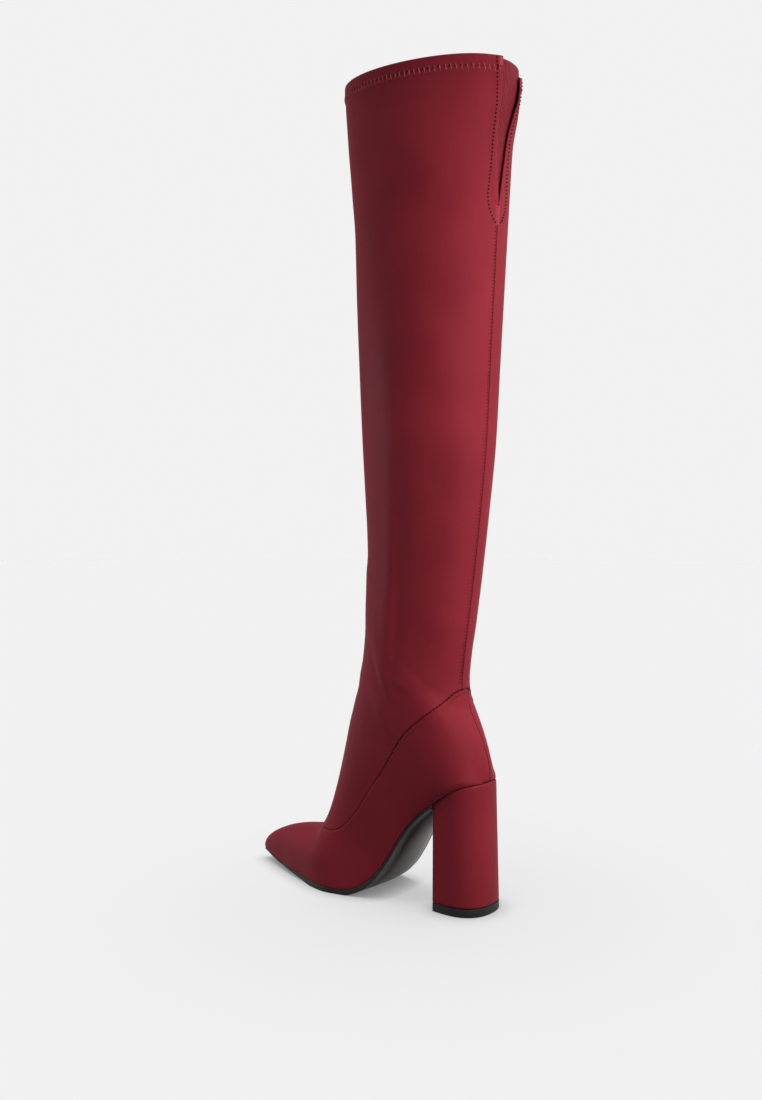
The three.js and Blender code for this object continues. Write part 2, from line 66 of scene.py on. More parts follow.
ANKLE = 200.0
ANKLE_WIDTH = 75.0
TOE_SPRING = 8.0
SOLE_THICK = 4.6
BOOT = 664.0
LEG = BOOT - ANKLE
TOP_DEPTH = 155.0
TOP_WIDTH = 104.0
TIP_LENGTH = 41.5
FLARE = 2.5
BREAST = TIP_LENGTH / 2
SEAT_BACK = FLARE - TIP_LENGTH / 2

# Place along the foot, outer edge, inner edge.
SOLE_PLAN = [
    (0.016, 0.185, -0.185),
    (0.052, 0.305, -0.305),
    (0.105, 0.352, -0.352),
    (0.17, 0.344, -0.346),
    (0.26, 0.346, -0.358),
    (0.326, 0.366, -0.408),
    (0.391, 0.408, -0.458),
    (0.449, 0.446, -0.49),
    (0.514, 0.486, -0.502),
    (0.565, 0.5, -0.502),
    (0.621, 0.458, -0.502),
    (0.704, 0.346, -0.476),
    (0.783, 0.242, -0.424),
    (0.836, 0.16, -0.376),
    (0.883, 0.087, -0.318),
    (0.949, -0.026, -0.226),
    (0.985, -0.092, -0.172),
]
TOE_TIP = -0.135

# Place along the foot, share of the toe spring, share of the seat's rise, share of thickness.
SOLE_LINE = [
    (0, 0, 1, 0.75),
    (0.04, 0, 0.98, 0.75),
    (0.08, 0, 0.94, 0.75),
    (0.12, 0, 0.884, 0.75),
    (0.165, 0, 0.806, 0.75),
    (0.2, 0, 0.736, 0.75),
    (0.241, 0, 0.642, 0.75),
    (0.286, 0, 0.498, 0.78),
    (0.331, 0, 0.316, 0.8),
    (0.375, 0, 0.166, 0.85),
    (0.4, 0, 0.106, 0.9),
    (0.424, 0, 0.062, 0.94),
    (0.456, 0, 0.022, 0.97),
    (0.492, 0, 0, 1),
    (0.63, 0, 0, 1),
    (0.715, 0.12, 0, 0.9),
    (0.78, 0.26, 0, 0.78),
    (0.836, 0.39, 0, 0.66),
    (0.883, 0.52, 0, 0.58),
    (0.949, 0.76, 0, 0.48),
    (1, 1, 0, 0.42),
]

# Top point along the foot and up the ankle, base point, half width, where it is widest.
FOOT_SECTIONS = [
    (0.996, 0.072, 0.9985, 0.03, 0.5),
    (0.986, 0.094, 0.9865, 0.062, 0.55),
    (0.963, 0.119, 0.963, 0.105, 0.6),
    (0.932, 0.142, 0.93, 0.15, 0.62),
    (0.879, 0.17, 0.875, 0.22, 0.64),
    (0.826, 0.19, 0.818, 0.284, 0.66),
    (0.76, 0.207, 0.745, 0.362, 0.68),
    (0.702, 0.214, 0.675, 0.428, 0.7),
    (0.656, 0.229, 0.62, 0.474, 0.7),
    (0.624, 0.285, 0.565, 0.5, 0.7),
    (0.604, 0.35, 0.505, 0.496, 0.68),
    (0.583, 0.46, 0.437, 0.472, 0.62),
    (0.56, 0.59, 0.36, 0.455, 0.56),
    (0.533, 0.725, 0.28, 0.455, 0.52),
    (0.506, 0.84, 0.195, 0.468, 0.5),
    (0.49, 0.925, 0.1, 0.486, 0.48),
    (0.482, 0.985, 0.035, 0.494, 0.44),
    (0.477, 1.035, 0.004, 0.498, 0.42),
]

# Front point along the foot and up the ankle, back point and its rise over the seat, half width,
# where it is widest.
ANKLE_SECTIONS = [
    (0.4735, 1.075, 0.0025, 0.06, 0.494, 0.42),
    (0.4705, 1.11, 0.013, 0.18, 0.496, 0.42),
    (0.468, 1.15, 0.039, 0.34, 0.498, 0.42),
    (0.466, 1.19, 0.069, 0.475, 0.5, 0.43),
    (0.464, 1.235, 0.09, 0.6, 0.5, 0.44),
    (0.463, 1.285, 0.095, 0.755, 0.5, 0.46),
    (0.463, 1.34, 0.088, 0.95, 0.502, 0.48),
]

# Front and back of the leg, their heights over the ankle, half width.
LEG_SECTIONS = [
    (0.6, -0.006, 0.177, 0.054, 0.366),
    (0.603, -0.039, 0.216, 0.134, 0.378),
    (0.613, -0.077, 0.28, 0.241, 0.404),
    (0.626, -0.113, 0.377, 0.362, 0.444),
    (0.639, -0.135, 0.496, 0.496, 0.474),
    (0.652, -0.157, 0.625, 0.625, 0.5),
    (0.658, -0.176, 0.733, 0.733, 0.518),
    (0.677, -0.19, 0.808, 0.808, 0.532),
    (0.7, -0.206, 0.873, 0.868, 0.53),
    (0.723, -0.242, 0.931, 0.922, 0.514),
    (0.7375, -0.2575, 0.983, 0.9616, 0.5035),
    (0.739, -0.261, 1.009, 0.9875, 0.5),
]
RIM_DIP = 4.4
BACK_FLAT = 0.8

# Squareness of the sections, in the leg and at the sole. Forwards of a place along the foot the
# form is firm, and its rounds are fuller by these amounts.
LEG_ROUND = 2.0
COUNTER_ROUND = 1.88
FIRM_FROM = 0.44
TOP_FIRM = 0.15
BASE_FIRM = 0.42


def foot_x(share):
    return SEAT_BACK + share * FOOT


def smooth(t):
    """Eases a share from 0 to 1. It takes numbers, arrays and wires."""
    return t * t * (3 - 2 * t)


def curve_between(t, a, leaving, b, arriving):
    """A smooth path from a to b with given directions at its ends."""
    return (
        (2 * t**3 - 3 * t**2 + 1) * a
        + (t**3 - 2 * t**2 + t) * leaving
        + (3 * t**2 - 2 * t**3) * b
        + (t**3 - t**2) * arriving
    )


def follow(rows, column, at):
    """A table's column at a place in its first column, on a curve that never overshoots."""
    last = len(rows) - 1
    if at <= rows[0][0]:
        return rows[0][column]
    if at >= rows[last][0]:
        return rows[last][column]
    i = 0
    while at > rows[i + 1][0]:
        i += 1

    def grade(j):
        return (rows[j + 1][column] - rows[j][column]) / (rows[j + 1][0] - rows[j][0])

    def slope(j):
        if j in (0, last):
            return grade(min(j, last - 1))
        before = grade(j - 1)
        after = grade(j)
        return 0 if before * after <= 0 else 2 * before * after / (before + after)

    span = rows[i + 1][0] - rows[i][0]
    t = (at - rows[i][0]) / span
    return curve_between(t, rows[i][column], span * slope(i), rows[i + 1][column], span * slope(i + 1))


def closed_curve(points, steps):
    """A smooth closed curve through points in a plane."""
    count = len(points)
    made = []
    for i in range(count):
        a, b, c, d = [np.array(points[(i + k - 1) % count], float) for k in range(4)]
        ab, bc, cd = [math.sqrt(np.linalg.norm(q - p)) for p, q in ((a, b), (b, c), (c, d))]
        start = ((b - a) / ab - (c - a) / (ab + bc) + (c - b) / bc) * bc
        end = ((c - b) / bc - (d - b) / (bc + cd) + (d - c) / cd) * bc
        made += [curve_between(t, b, start, c, end) for t in np.arange(steps) / steps]
    return np.array(made)


outline = closed_curve(
    [(foot_x(1), TOE_TIP * BALL)]
    + [(foot_x(at), outer * BALL) for at, outer, _ in reversed(SOLE_PLAN)]
    + [(foot_x(0), 0)]
    + [(foot_x(at), inner * BALL) for at, _, inner in SOLE_PLAN],
    16,
)
toe_first = np.roll(outline, -int(outline[:, 0].argmax()), axis=0)
seat_point = int(toe_first[:, 0].argmin())
outer_edge = toe_first[: seat_point + 1][::-1]
inner_edge = np.vstack([toe_first[seat_point:], toe_first[:1]])


def plan_at(x):
    """Middle and half width of the sole at x."""
    outer = np.interp(x, outer_edge[:, 0], outer_edge[:, 1])
    inner = np.interp(x, inner_edge[:, 0], inner_edge[:, 1])
    return (outer + inner) / 2, max(0.0, (outer - inner) / 2)


def sole_at(at):
    """Height of the last's bottom and thickness of the sole under it."""
    thick = SOLE_THICK * follow(SOLE_LINE, 3, at)
    rise = SEAT - SOLE_THICK * SOLE_LINE[0][3]
    height = TOE_SPRING * follow(SOLE_LINE, 1, at) + rise * follow(SOLE_LINE, 2, at) + thick
    return height, thick


def sole_frame(at):
    """A point of the last's bottom, the direction square to it, and the sole's thickness."""
    low = max(0.0, at - 0.002)
    high = min(1.0, at + 0.002)
    run = foot_x(high) - foot_x(low)
    rise = sole_at(high)[0] - sole_at(low)[0]
    length = math.hypot(run, rise)
    height, thick = sole_at(at)
    return foot_x(at), height, -rise / length, run / length, thick


def last_sections():
    """Sections of the last from toe to rim, each led by its distance along the boot.

    A section is (front x, front z, back x, back z, middle, half width, flat, widest, top round,
    base round, dip).
    """
    counted = [(i, *row) for i, row in enumerate(FOOT_SECTIONS)]
    rows = []
    for place in np.arange(0, len(counted) - 1 + 0.01, 0.25):
        top_x, top_z, base_x, half, belly = [follow(counted, k, place) for k in range(1, 6)]
        middle, plan = plan_at(foot_x(base_x))
        firm = min(1.0, base_x / FIRM_FROM)
        rows.append((
            foot_x(top_x), top_z * ANKLE, foot_x(base_x), sole_at(base_x)[0],
            middle, half * BALL, max(BACK_FLAT, plan), belly,
            LEG_ROUND + TOP_FIRM * firm, COUNTER_ROUND + BASE_FIRM * firm, 0,
        ))
    for front_x, front_z, back_x, rise, half, belly in ANKLE_SECTIONS:
        rows.append((
            foot_x(front_x), front_z * ANKLE, foot_x(back_x), SEAT + rise * (ANKLE - SEAT),
            0, half * ANKLE_WIDTH, BACK_FLAT, belly, LEG_ROUND, COUNTER_ROUND, 0,
        ))
    for number, (front, back, front_z, back_z, half) in enumerate(LEG_SECTIONS):
        at_rim = number >= len(LEG_SECTIONS) - 2
        rows.append((
            front * TOP_DEPTH, ANKLE + front_z * LEG, back * TOP_DEPTH, ANKLE + back_z * LEG,
            0, half * TOP_WIDTH, BACK_FLAT, 0.5, LEG_ROUND, LEG_ROUND, RIM_DIP if at_rim else 0,
        ))
    led = [(0.0, *rows[0])]
    for before, row in zip(rows, rows[1:]):
        front = math.hypot(row[0] - before[0], row[1] - before[1])
        back = math.hypot(row[2] - before[2], row[3] - before[3])
        led.append((led[-1][0] + (front + back) / 2, *row))
    return led


SECTIONS = last_sections()
RIM_AT = SECTIONS[-1][0]
SIDE_COLUMNS = 34
EDGE_STEPS = (6.9, 5.4, 3.9, 2.4, 0.9, 0.4, 0.12, 0.0)
EDGE_SHARE = 0.6
TURN_SHARE = 0.4
BACK_TURN = 4.5


def section_points(at, notch, turn):
    """One section of the skin from the outer back edge round the front to the inner one."""
    front_x, front_z, back_x, back_z, middle, half, flat, belly, top, base, dip = [
        follow(SECTIONS, k, at) for k in range(1, 12)
    ]
    wide = max(half, flat + 0.01)
    turn = max(-TURN_SHARE * wide, min(TURN_SHARE * wide, turn))

    def upper(angle):
        return (
            belly * (1 - max(0.0, math.cos(angle)) ** (2 / top)),
            wide * math.sin(angle) ** (2 / top),
        )

    def lower(angle):
        return (
            belly + (1 - belly) * math.sin(angle) ** (2 / base),
            flat + (wide - flat) * max(0.0, math.cos(angle)) ** (2 / base),
        )

    def angle_at(y):
        return math.acos(min(1.0, (max(0.0, abs(y) - flat) / (wide - flat)) ** (base / 2)))

    def one_side(edge, way):
        start = max(flat, edge + min(EDGE_STEPS[0], EDGE_SHARE * (wide - edge)))
        reach = (start - edge) / EDGE_STEPS[0]
        side = [upper(angle) for angle in np.linspace(0, math.pi / 2, SIDE_COLUMNS + 1)]
        side += [lower(angle) for angle in np.linspace(0, angle_at(start), SIDE_COLUMNS + 1)[1:]]
        for y in [edge + step * reach for step in EDGE_STEPS[1:]]:
            side.append((lower(angle_at(y))[0], y))
        return [place(share, y * way) for share, y in side]

    def place(share, y):
        return (
            front_x + share * (back_x - front_x),
            middle + y,
            front_z + share * (back_z - front_z) - dip * (y / wide) ** 2,
        )

    return one_side(notch + turn, 1)[:0:-1] + one_side(notch - turn, -1)


NOTCH_DEPTH = 108.0
NOTCH_HALF = 10.5
NOTCH_BOW = 1.6
RIM_BACK = ANKLE + LEG_SECTIONS[-1][3] * LEG
ROW_STEP = 2.5
RIM_ROWS = (14.5, 13.4, 12.8, 12.3, 11.8, 11.2, 9.5, 7.5, 5.5, 3.5, 2.0, 0.9, 0.4, 0.12, 0.0)
EVEN_TO = RIM_AT - 16


def notch_edge(height):
    """Half width of the notch in the back at a height."""
    up = (height - RIM_BACK + NOTCH_DEPTH) / NOTCH_DEPTH
    if up <= 0:
        return 0.0
    return NOTCH_HALF * (1 - (1 - min(1.0, up)) ** NOTCH_BOW)


def stations():
    """Where the skin's rows lie: even, and closer at the rim's fold and hem."""
    even = list(np.linspace(0, EVEN_TO, int(EVEN_TO / ROW_STEP)))
    return even + [RIM_AT - below for below in RIM_ROWS]


def skin_grid(notched, turned):
    """Rows of skin points from toe to rim."""
    rows = []
    for at in stations():
        height = follow(SECTIONS, 4, at)
        notch = notch_edge(height) if notched else 0.0
        rows.append(section_points(at, notch, turned(height)))
    return np.array(rows)


def grid_faces(rows, columns):
    """Quads between the rows of a grid, turned so that they look outwards."""
    faces = []
    for r in range(rows - 1):
        for c in range(columns - 1):
            a = r * columns + c
            faces.append((a, a + 1, a + columns + 1, a + columns))
    return faces


bare = skin_grid(False, lambda height: 0.0)
last_form = BVHTree.FromPolygons(
    [Vector(p) for p in bare.reshape(-1, 3)], grid_faces(len(bare), bare.shape[1])
)


def axis_at(height):
    """Middle of the leg, front to back, at a height."""
    rows = [row for row in SECTIONS if row[4] > SEAT]
    return np.interp(height, [row[4] for row in rows], [(row[1] + row[3]) / 2 for row in rows])


# The insole: a stiff board that carries the foot, with a thin black sock glued on top. The
# upper is pulled round its edge and glued under it, so only its top shows, down inside the leg.
INSOLE = 2.5
INSOLE_EASE = 0.5
INSOLE_FROM = 0.013
INSOLE_RUN = 0.966
LEAST_HALF = 0.6
WALL = 1.6
GAP = 0.3


class Wire:
    """A socket of a material. A sum on wires adds the Math nodes that work it out."""

    def __init__(self, tree, socket=None):
        self.tree = tree
        self.socket = socket

    def node(self, kind, settings, sockets, out=0):
        made = self.tree.nodes.new(kind)
        for name, value in settings.items():
            if name == "stops":
                ramp = made.color_ramp.elements
                while len(ramp) < len(value):
                    ramp.new(0.5)
                for stop, (place, colour) in zip(ramp, value):
                    stop.position = place
                    stop.color = colour
            else:
                setattr(made, name, value)
        for name, value in sockets.items():
            if isinstance(value, Wire):
                self.tree.links.new(value.socket, made.inputs[name])
            else:
                made.inputs[name].default_value = value
        return Wire(self.tree, made.outputs[out])

    def sum(self, operation, *values):
        return self.node("ShaderNodeMath", {"operation": operation}, dict(enumerate(values)))

    def __add__(self, other):
        return self.sum("ADD", self, other)

    def __radd__(self, other):
        return self.sum("ADD", other, self)

    def __sub__(self, other):
        return self.sum("SUBTRACT", self, other)

    def __rsub__(self, other):
        return self.sum("SUBTRACT", other, self)

    def __mul__(self, other):
        return self.sum("MULTIPLY", self, other)

    def __rmul__(self, other):
        return self.sum("MULTIPLY", other, self)

    def __truediv__(self, other):
        return self.sum("DIVIDE", self, other)

    def most(self, other):
        return self.sum("MAXIMUM", self, other)

    def near(self, reach):
        """1 on the line that this distance is measured from, 0 at its reach, smooth between."""
        return smooth((1 - self.sum("ABSOLUTE", self) / reach).most(0.0))

    def tint(self, a, b):
        """Colour a where this wire is 0, colour b where it is 1."""
        values = {0: self, 6: a, 7: b}
        return self.node("ShaderNodeMix", {"data_type": "RGBA"}, values, out=2)


def noise(place, scale, detail):
    return place.node("ShaderNodeTexNoise", {}, {"Vector": place, "Scale": scale, "Detail": detail})


def bands(place, way, scale, distortion=0.0, detail=2.0):
    """Fine parallel lines across one direction, made wavy by the distortion."""
    settings = {"wave_type": "BANDS", "bands_direction": way}
    sockets = {"Vector": place, "Scale": scale, "Distortion": distortion, "Detail": detail}
    return place.node("ShaderNodeTexWave", settings, sockets, out="Fac")


def stretched(place, up):
    """The same place with its height scaled."""
    return place.node("ShaderNodeMapping", {}, {"Vector": place, "Scale": (1.0, 1.0, up)})


def bump(height, distance, strength=1.0):
    """The tilt that a fine relief gives the surface. The distance is in metres."""
    sockets = {"Height": height, "Distance": distance, "Strength": strength}
    return height.node("ShaderNodeBump", {}, sockets)


def painted(name, look, fixed):
    """A material: look works out what varies over the piece, fixed is the same all over."""
    material = bpy.data.materials.new(name)
    material.use_nodes = True
    tree = material.node_tree
    shader = next(n for n in tree.nodes if n.type == "BSDF_PRINCIPLED")
    for socket, value in look(Wire(tree)).items():
        tree.links.new(value.socket, shader.inputs[socket])
    for socket, value in fixed.items():
        shader.inputs[socket].default_value = value
    return material


def on_piece(wire):
    """The place on the piece, in metres."""
    return wire.node("ShaderNodeTexCoord", {}, {}, out="Object")


SOCK_DARK = (0.010, 0.009, 0.010, 1)
SOCK_DUSTY = (0.034, 0.030, 0.031, 1)


def sock_look(wire):
    """Thin black knitted sock, a little dusty, with a fine rib along the foot."""
    place = on_piece(wire)
    rib = bands(place, "Y", 190.0, 1.2)
    dust = noise(place, 60.0, 6.0)
    return {
        "Base Color": (rib * 0.4 + dust * 0.5).tint(SOCK_DARK, SOCK_DUSTY),
        "Roughness": 0.7 + dust * 0.2,
        "Normal": bump(rib, 0.0002, 0.8),
    }


sock_cloth = painted(
    "sock_cloth",
    sock_look,
    {"Sheen Weight": 0.3, "Sheen Roughness": 0.6, "Specular IOR Level": 0.2},
)


def new_piece(name, points, faces, materials, rounded=True):
    """A piece of the boot from points in millimetres."""
    mesh = bpy.data.meshes.new(name)
    mesh.from_pydata([tuple(c / 1000 for c in p) for p in points], [], faces)
    for material in materials:
        mesh.materials.append(material)
    mesh.update()
    mesh.polygons.foreach_set("use_smooth", [rounded] * len(mesh.polygons))
    piece = bpy.data.objects.new(name, mesh)
    bpy.context.scene.collection.objects.link(piece)
    return piece


def ring_faces(rings, count):
    """Quads between closed rings of points, and one face over each end."""
    faces = []
    for r in range(rings - 1):
        for c in range(count):
            a = r * count + c
            b = r * count + (c + 1) % count
            faces.append((a, b, b + count, a + count))
    faces.append(tuple(range(count)))
    faces.append(tuple(range((rings - 1) * count, rings * count)))
    return faces


def closed_piece(name, points, faces, materials):
    """A piece whose faces are all turned to look out."""
    piece = new_piece(name, points, faces, materials)
    shape = bmesh.new()
    shape.from_mesh(piece.data)
    bmesh.ops.recalc_face_normals(shape, faces=shape.faces)
    shape.to_mesh(piece.data)
    shape.free()
    return piece


def slab(name, shares, edge, section, materials):
    """A sheet along the last's bottom. section lists (share out from the middle, depth)."""
    points = []
    for at in shares:
        x, z, nx, nz, thick = sole_frame(at)
        middle, plan = plan_at(x)
        half = max(LEAST_HALF, plan + edge)
        for out, depth in section(at, half, thick):
            points.append((x + depth * nx, middle + out, z + depth * nz))
    faces = ring_faces(len(shares), len(points) // len(shares))
    return closed_piece(name, points, faces, materials)


def insole_section(at, half, thick):
    """Flat underneath, with the top edge eased."""
    across = np.linspace(-1, 1, 17)
    top = [(out * half, INSOLE - INSOLE_EASE * abs(out) ** 6) for out in across]
    return top + [(out * half, 0.0) for out in across[::-1]]


insole_shares = (1 - np.cos(np.linspace(0, math.pi, 90))) / 2
insole_places = INSOLE_FROM + INSOLE_RUN * insole_shares
insole = slab("insole_board", insole_places, -WALL - GAP, insole_section, [sock_cloth])
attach(insole, "root")
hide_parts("insole")

# The foot panel: vamp, sides and heel counter cut from burgundy stretch satin bonded to a
# knitted lining, closed down the back, pulled over the last and glued under the insole. Its
# top line sweeps from behind the heel down to the throat, where the shaft is sewn on.
SEAM = [
    (0.08, 0.873),
    (0.1, 0.858),
    (0.13, 0.808),
    (0.184, 0.748),
    (0.24, 0.684),
    (0.323, 0.544),
    (0.4, 0.4185),
    (0.4565, 0.3265),
    (0.508, 0.27),
    (0.545, 0.252),
    (0.58, 0.2505),
    (0.615, 0.26),
    (0.656, 0.285),
]
SATIN_DEEP = (0.200, 0.0165, 0.0262, 1)
SATIN_BRIGHT = (0.262, 0.0215, 0.0335, 1)
# The next colour is painted shade for the seams and the notch's edge, not a colour of the satin.
SATIN_SEAM_SHADE = (0.050, 0.0045, 0.0080, 1)
LINING_DEEP = (0.052, 0.008, 0.012, 1)
LINING = (0.085, 0.0120, 0.0180, 1)

OFF = 400.0

# The seam as a line over the foot's length, carried on level behind it and steeply before it.
seam_x = np.linspace(foot_x(SEAM[0][0]), foot_x(SEAM[-1][0]), 500)
seam_rows = [(foot_x(x), z * ANKLE) for x, z in SEAM]
seam_z = np.array([follow(seam_rows, 1, x) for x in seam_x])
seam_x = np.concatenate([[-OFF], seam_x, [seam_x[-1] + OFF]])
seam_z = np.concatenate([[seam_z[0]], seam_z, [seam_z[-1] + OFF]])
seam_slope = np.gradient(seam_z, seam_x)


def over_seam(points):
    """How far points lie above the foot seam, negative on the foot panel."""
    line = np.interp(points[:, 0], seam_x, seam_z)
    slope = np.interp(points[:, 0], seam_x, seam_slope)
    return (points[:, 2] - line) / np.sqrt(1 + slope**2)


ON_LINE = 0.02
UNDER_FOOT = 7.5
TIP_OUT = 0.9
SEAM_ROWS = (-5.4, -4.4, -3.6, -2.8, -1.6, -0.8, -0.3, 0.0, 0.3, 0.8, 1.6, 2.8)


def cut_along(shape, level):
    """Splits the faces of a shape along the line where level is zero."""
    shape.verts.ensure_lookup_table()
    points = np.array([v.co for v in shape.verts])
    heights = level(points)
    heights[np.abs(heights) < ON_LINE] = 0.0
    on_line = {v for v, h in zip(shape.verts, heights) if h == 0.0}
    known = dict(zip(shape.verts, heights))
    crossed = [e for e in shape.edges if known[e.verts[0]] * known[e.verts[1]] < 0]
    for edge in crossed:
        a, b = edge.verts
        share = known[a] / (known[a] - known[b])
        _, made = bmesh.utils.edge_split(edge, a, share)
        on_line.add(made)
    for face in list(shape.faces):
        ends = [v for v in face.verts if v in on_line]
        if len(ends) != 2:
            continue
        if any(ends[1] in e.verts for e in ends[0].link_edges if e in face.edges):
            continue
        bmesh.utils.face_split(face, ends[0], ends[1])


def skin_shape(turned):
    """The whole skin over the last, with rows of points laid along the foot seam."""
    grid = skin_grid(True, turned)
    rows, columns = grid.shape[:2]
    shape = bmesh.new()
    verts = [shape.verts.new(p) for p in grid.reshape(-1, 3)]
    strip = len(EDGE_STEPS)
    flats = [follow(SECTIONS, 7, at) for at in stations()]
    for r in range(rows - 1):
        for c in range(columns - 1):
            in_strip = c < strip or c >= columns - 1 - strip
            if in_strip and flats[r] > UNDER_FOOT:
                continue
            a = r * columns + c
            ring = (a, a + 1, a + columns + 1, a + columns)
            shape.faces.new([verts[i] for i in ring])
    toe = shape.verts.new(grid[0].mean(axis=0) + np.array((TIP_OUT, 0, 0)))
    for c in range(columns - 1):
        shape.faces.new([verts[c + 1], verts[c], toe])
    loose = [v for v in shape.verts if not v.link_faces]
    bmesh.ops.delete(shape, geom=loose, context="VERTS")
    bmesh.ops.remove_doubles(shape, verts=shape.verts, dist=0.004)
    for offset in SEAM_ROWS:
        cut_along(shape, lambda points, offset=offset: over_seam(points) - offset)
    bmesh.ops.recalc_face_normals(shape, faces=shape.faces)
    return shape


LEG_RADIUS = 50

# Soft troughs and ridges of the empty shaft: middle (side angle from the front, height), run
# (angle, height), width across in mm, depth in mm (negative for a trough).
FOLDS = [
    (91, 262, 2, 96, 5.5, -1.2),
    (80, 258, 3, 92, 8, 1.35),
    (73, 184, 9, -15, 5, 0.95),
    (65, 178, 8, -13, 4.5, -0.95),
    (84, 143, 9, -9, 3.5, -0.55),
    (71, 151, 8, -10, 4, 0.6),
    (52, 152, 6, -18, 6, -0.95),
    (98, 178, -10, 3, 3, 0.45),
    (108, 170, 9, 3, 2.6, -0.6),
    (128, 173, 8, 3, 2.6, -0.6),
    (52, 232, -6, 30, 8, -0.9),
    (60, 208, -6, 22, 6, 0.7),
    (128, 300, 8, 50, 18, -1.2),
    (104, 345, -8, 50, 20, 1.1),
    (60, 400, 6, 60, 20, -1.3),
    (80, 430, -4, 60, 18, 1.2),
    (122, 446, -20, 40, 18, 1.4),
    (92, 505, 14, 46, 20, -1.4),
    (50, 560, -6, 60, 20, 1.2),
    (132, 550, 20, 30, 14, -1.2),
    (100, 596, -26, 26, 14, 1.2),
    (-66, 180, -9, -14, 5, 0.95),
    (-58, 172, -8, -12, 4, -0.95),
    (-84, 148, -9, -9, 4, -0.85),
    (-112, 170, -9, 3, 3, -0.5),
    (-128, 174, -9, 3, 4, 0.4),
    (-78, 256, 3, 80, 8, 0.9),
    (-92, 262, 2, 84, 6, -0.7),
    (-100, 330, 8, 50, 20, -0.7),
    (-70, 420, -6, 60, 22, 0.7),
    (-116, 480, 8, 56, 22, -0.7),
    (-64, 560, 8, 60, 22, -0.7),
    (-104, 600, -8, 44, 20, 0.6),
    (0, 168, 24, 0, 5, -0.8),
    (4, 181, 26, 2, 6, 0.6),
    (-6, 150, 22, 0, 5, -0.7),
]


def bell(distance, width):
    """1 at no distance, falling softly to nearly 0 at twice the width."""
    return np.exp(-((distance / width) ** 2))


def fade_in(value, start, span):
    """0 up to a start, 1 from a span past it, straight between."""
    return np.clip((value - start) / span, 0, 1)


def fold_depth(points):
    """Sum of the soft folds at points of the leg."""
    x, y, z = points.T
    axis = axis_at(z)
    angle = np.degrees(np.arctan2(y, x - axis))
    reach = np.hypot(y, x - axis)
    total = np.zeros(len(points))
    for middle, height, turn, lean, width, depth in FOLDS:
        across = (angle - middle + 180) % 360 - 180
        along = np.radians(across) * reach
        run = np.array((math.radians(turn) * LEG_RADIUS, lean))
        length = np.linalg.norm(run)
        run = run / length
        far = along * run[0] + (z - height) * run[1]
        off = -along * run[1] + (z - height) * run[0]
        total += depth * bell(off, width) * bell(far, length)
    return total


def rolled(distance, radius):
    """How far a folded edge turns in at a distance from it."""
    off = np.clip(1 - distance / radius, 0, 1)
    return radius * (1 - np.sqrt(np.maximum(0, 1 - off**2)))


def rim_height(points):
    """Height of the rim over a point of the leg."""
    front, back, high, _, half = LEG_SECTIONS[-1]
    share = (points[:, 0] - back * TOP_DEPTH) / ((front - back) * TOP_DEPTH)
    dip = RIM_DIP * (points[:, 1] / (half * TOP_WIDTH)) ** 2
    return RIM_BACK + share * (ANKLE + high * LEG - RIM_BACK) - dip


HEM = 12.0
HEM_STEP = 0.7
FLAP = 7.0
RIM_SAG = 9.0
SAG_WIDTH = 13.0
SAG_DEPTH = 34.0


def rim_sag(points, below):
    """How far the rim slips down at the inner corner of the notch."""
    past = np.maximum(0, BACK_TURN - NOTCH_HALF - points[:, 1])
    inner = (points[:, 0] < axis_at(points[:, 2])) & (points[:, 1] < BACK_TURN)
    return RIM_SAG * inner * bell(past, SAG_WIDTH) * bell(below, SAG_DEPTH)


# Depth below the rim, half width of the stitched facing round the notch.
FACING = [
    (0, 16.2),
    (20, 14.4),
    (53, 11),
    (79, 10.6),
    (93, 11.4),
    (103, 11.8),
    (109, 11),
    (114, 9.2),
    (118, 6.8),
    (121, 4.4),
    (124, 0),
]
facing_depth = np.linspace(0, 124, 249)
facing_half = np.array([follow(FACING, 1, d) for d in facing_depth])
FAR = 60.0
SEAM_FOOT = 97.0
FACING_OVER_RIM = 19.0


def skin_distances(points, turned):
    """Distances in mm to the seams, rim, notch and facing row, for every point."""
    x, y, z = points.T
    y = np.abs(y - np.array([turned(height) for height in z]))
    behind = x < axis_at(z)
    edge = np.array([notch_edge(h) for h in z])
    in_notch = z > RIM_BACK - NOTCH_DEPTH
    half = np.interp(RIM_BACK - z, facing_depth, facing_half, left=FACING_OVER_RIM, right=-FAR)
    return {
        "foot_seam": over_seam(points),
        "back_seam": np.where(behind & ~in_notch & (z > SEAM_FOOT), y, FAR),
        "rim": np.maximum(0, rim_height(points) - z),
        "notch": np.where(in_notch, np.maximum(np.where(behind, y - edge, FAR), 0), FAR),
        "facing": np.where(behind, y - half, FAR),
    }


# Relief beside the stitched lines: line, how far over it, half width, height. The part of the
# foot seam that is sewn through from the outside has a relief of its own.
RELIEF = [
    ("foot_seam", 0.0, 0.5, -0.36),
    ("foot_seam", -1.6, 1.1, 0.12),
    ("foot_seam", 1.6, 1.1, 0.12),
    ("back_seam", 0.0, 0.4, -0.5),
    ("back_seam", 1.6, 1.2, 0.22),
    ("facing", 0.0, 0.8, -0.15),
]
SEWN_RELIEF = [
    ("foot_seam", -1.6, 1.1, 0.4),
    ("foot_seam", -3.6, 0.7, -0.35),
]
SEWN_FROM = 128.0
SEWN_SPAN = 16.0
FOLD_FADE = 40.0
RIM_ROUND = 0.8
NOTCH_ROUND = 0.9
ROLL_HEIGHT = 640.0
ROLL_SPAN = 10.0
ROLL_REACH = 6.0

# The flaps beside the notch: how far they stand off and how far they roll, inner then outer.
FLAP_STEP = (0.5, 0.9)
FLAP_ROLL = (1.3, 0.2)


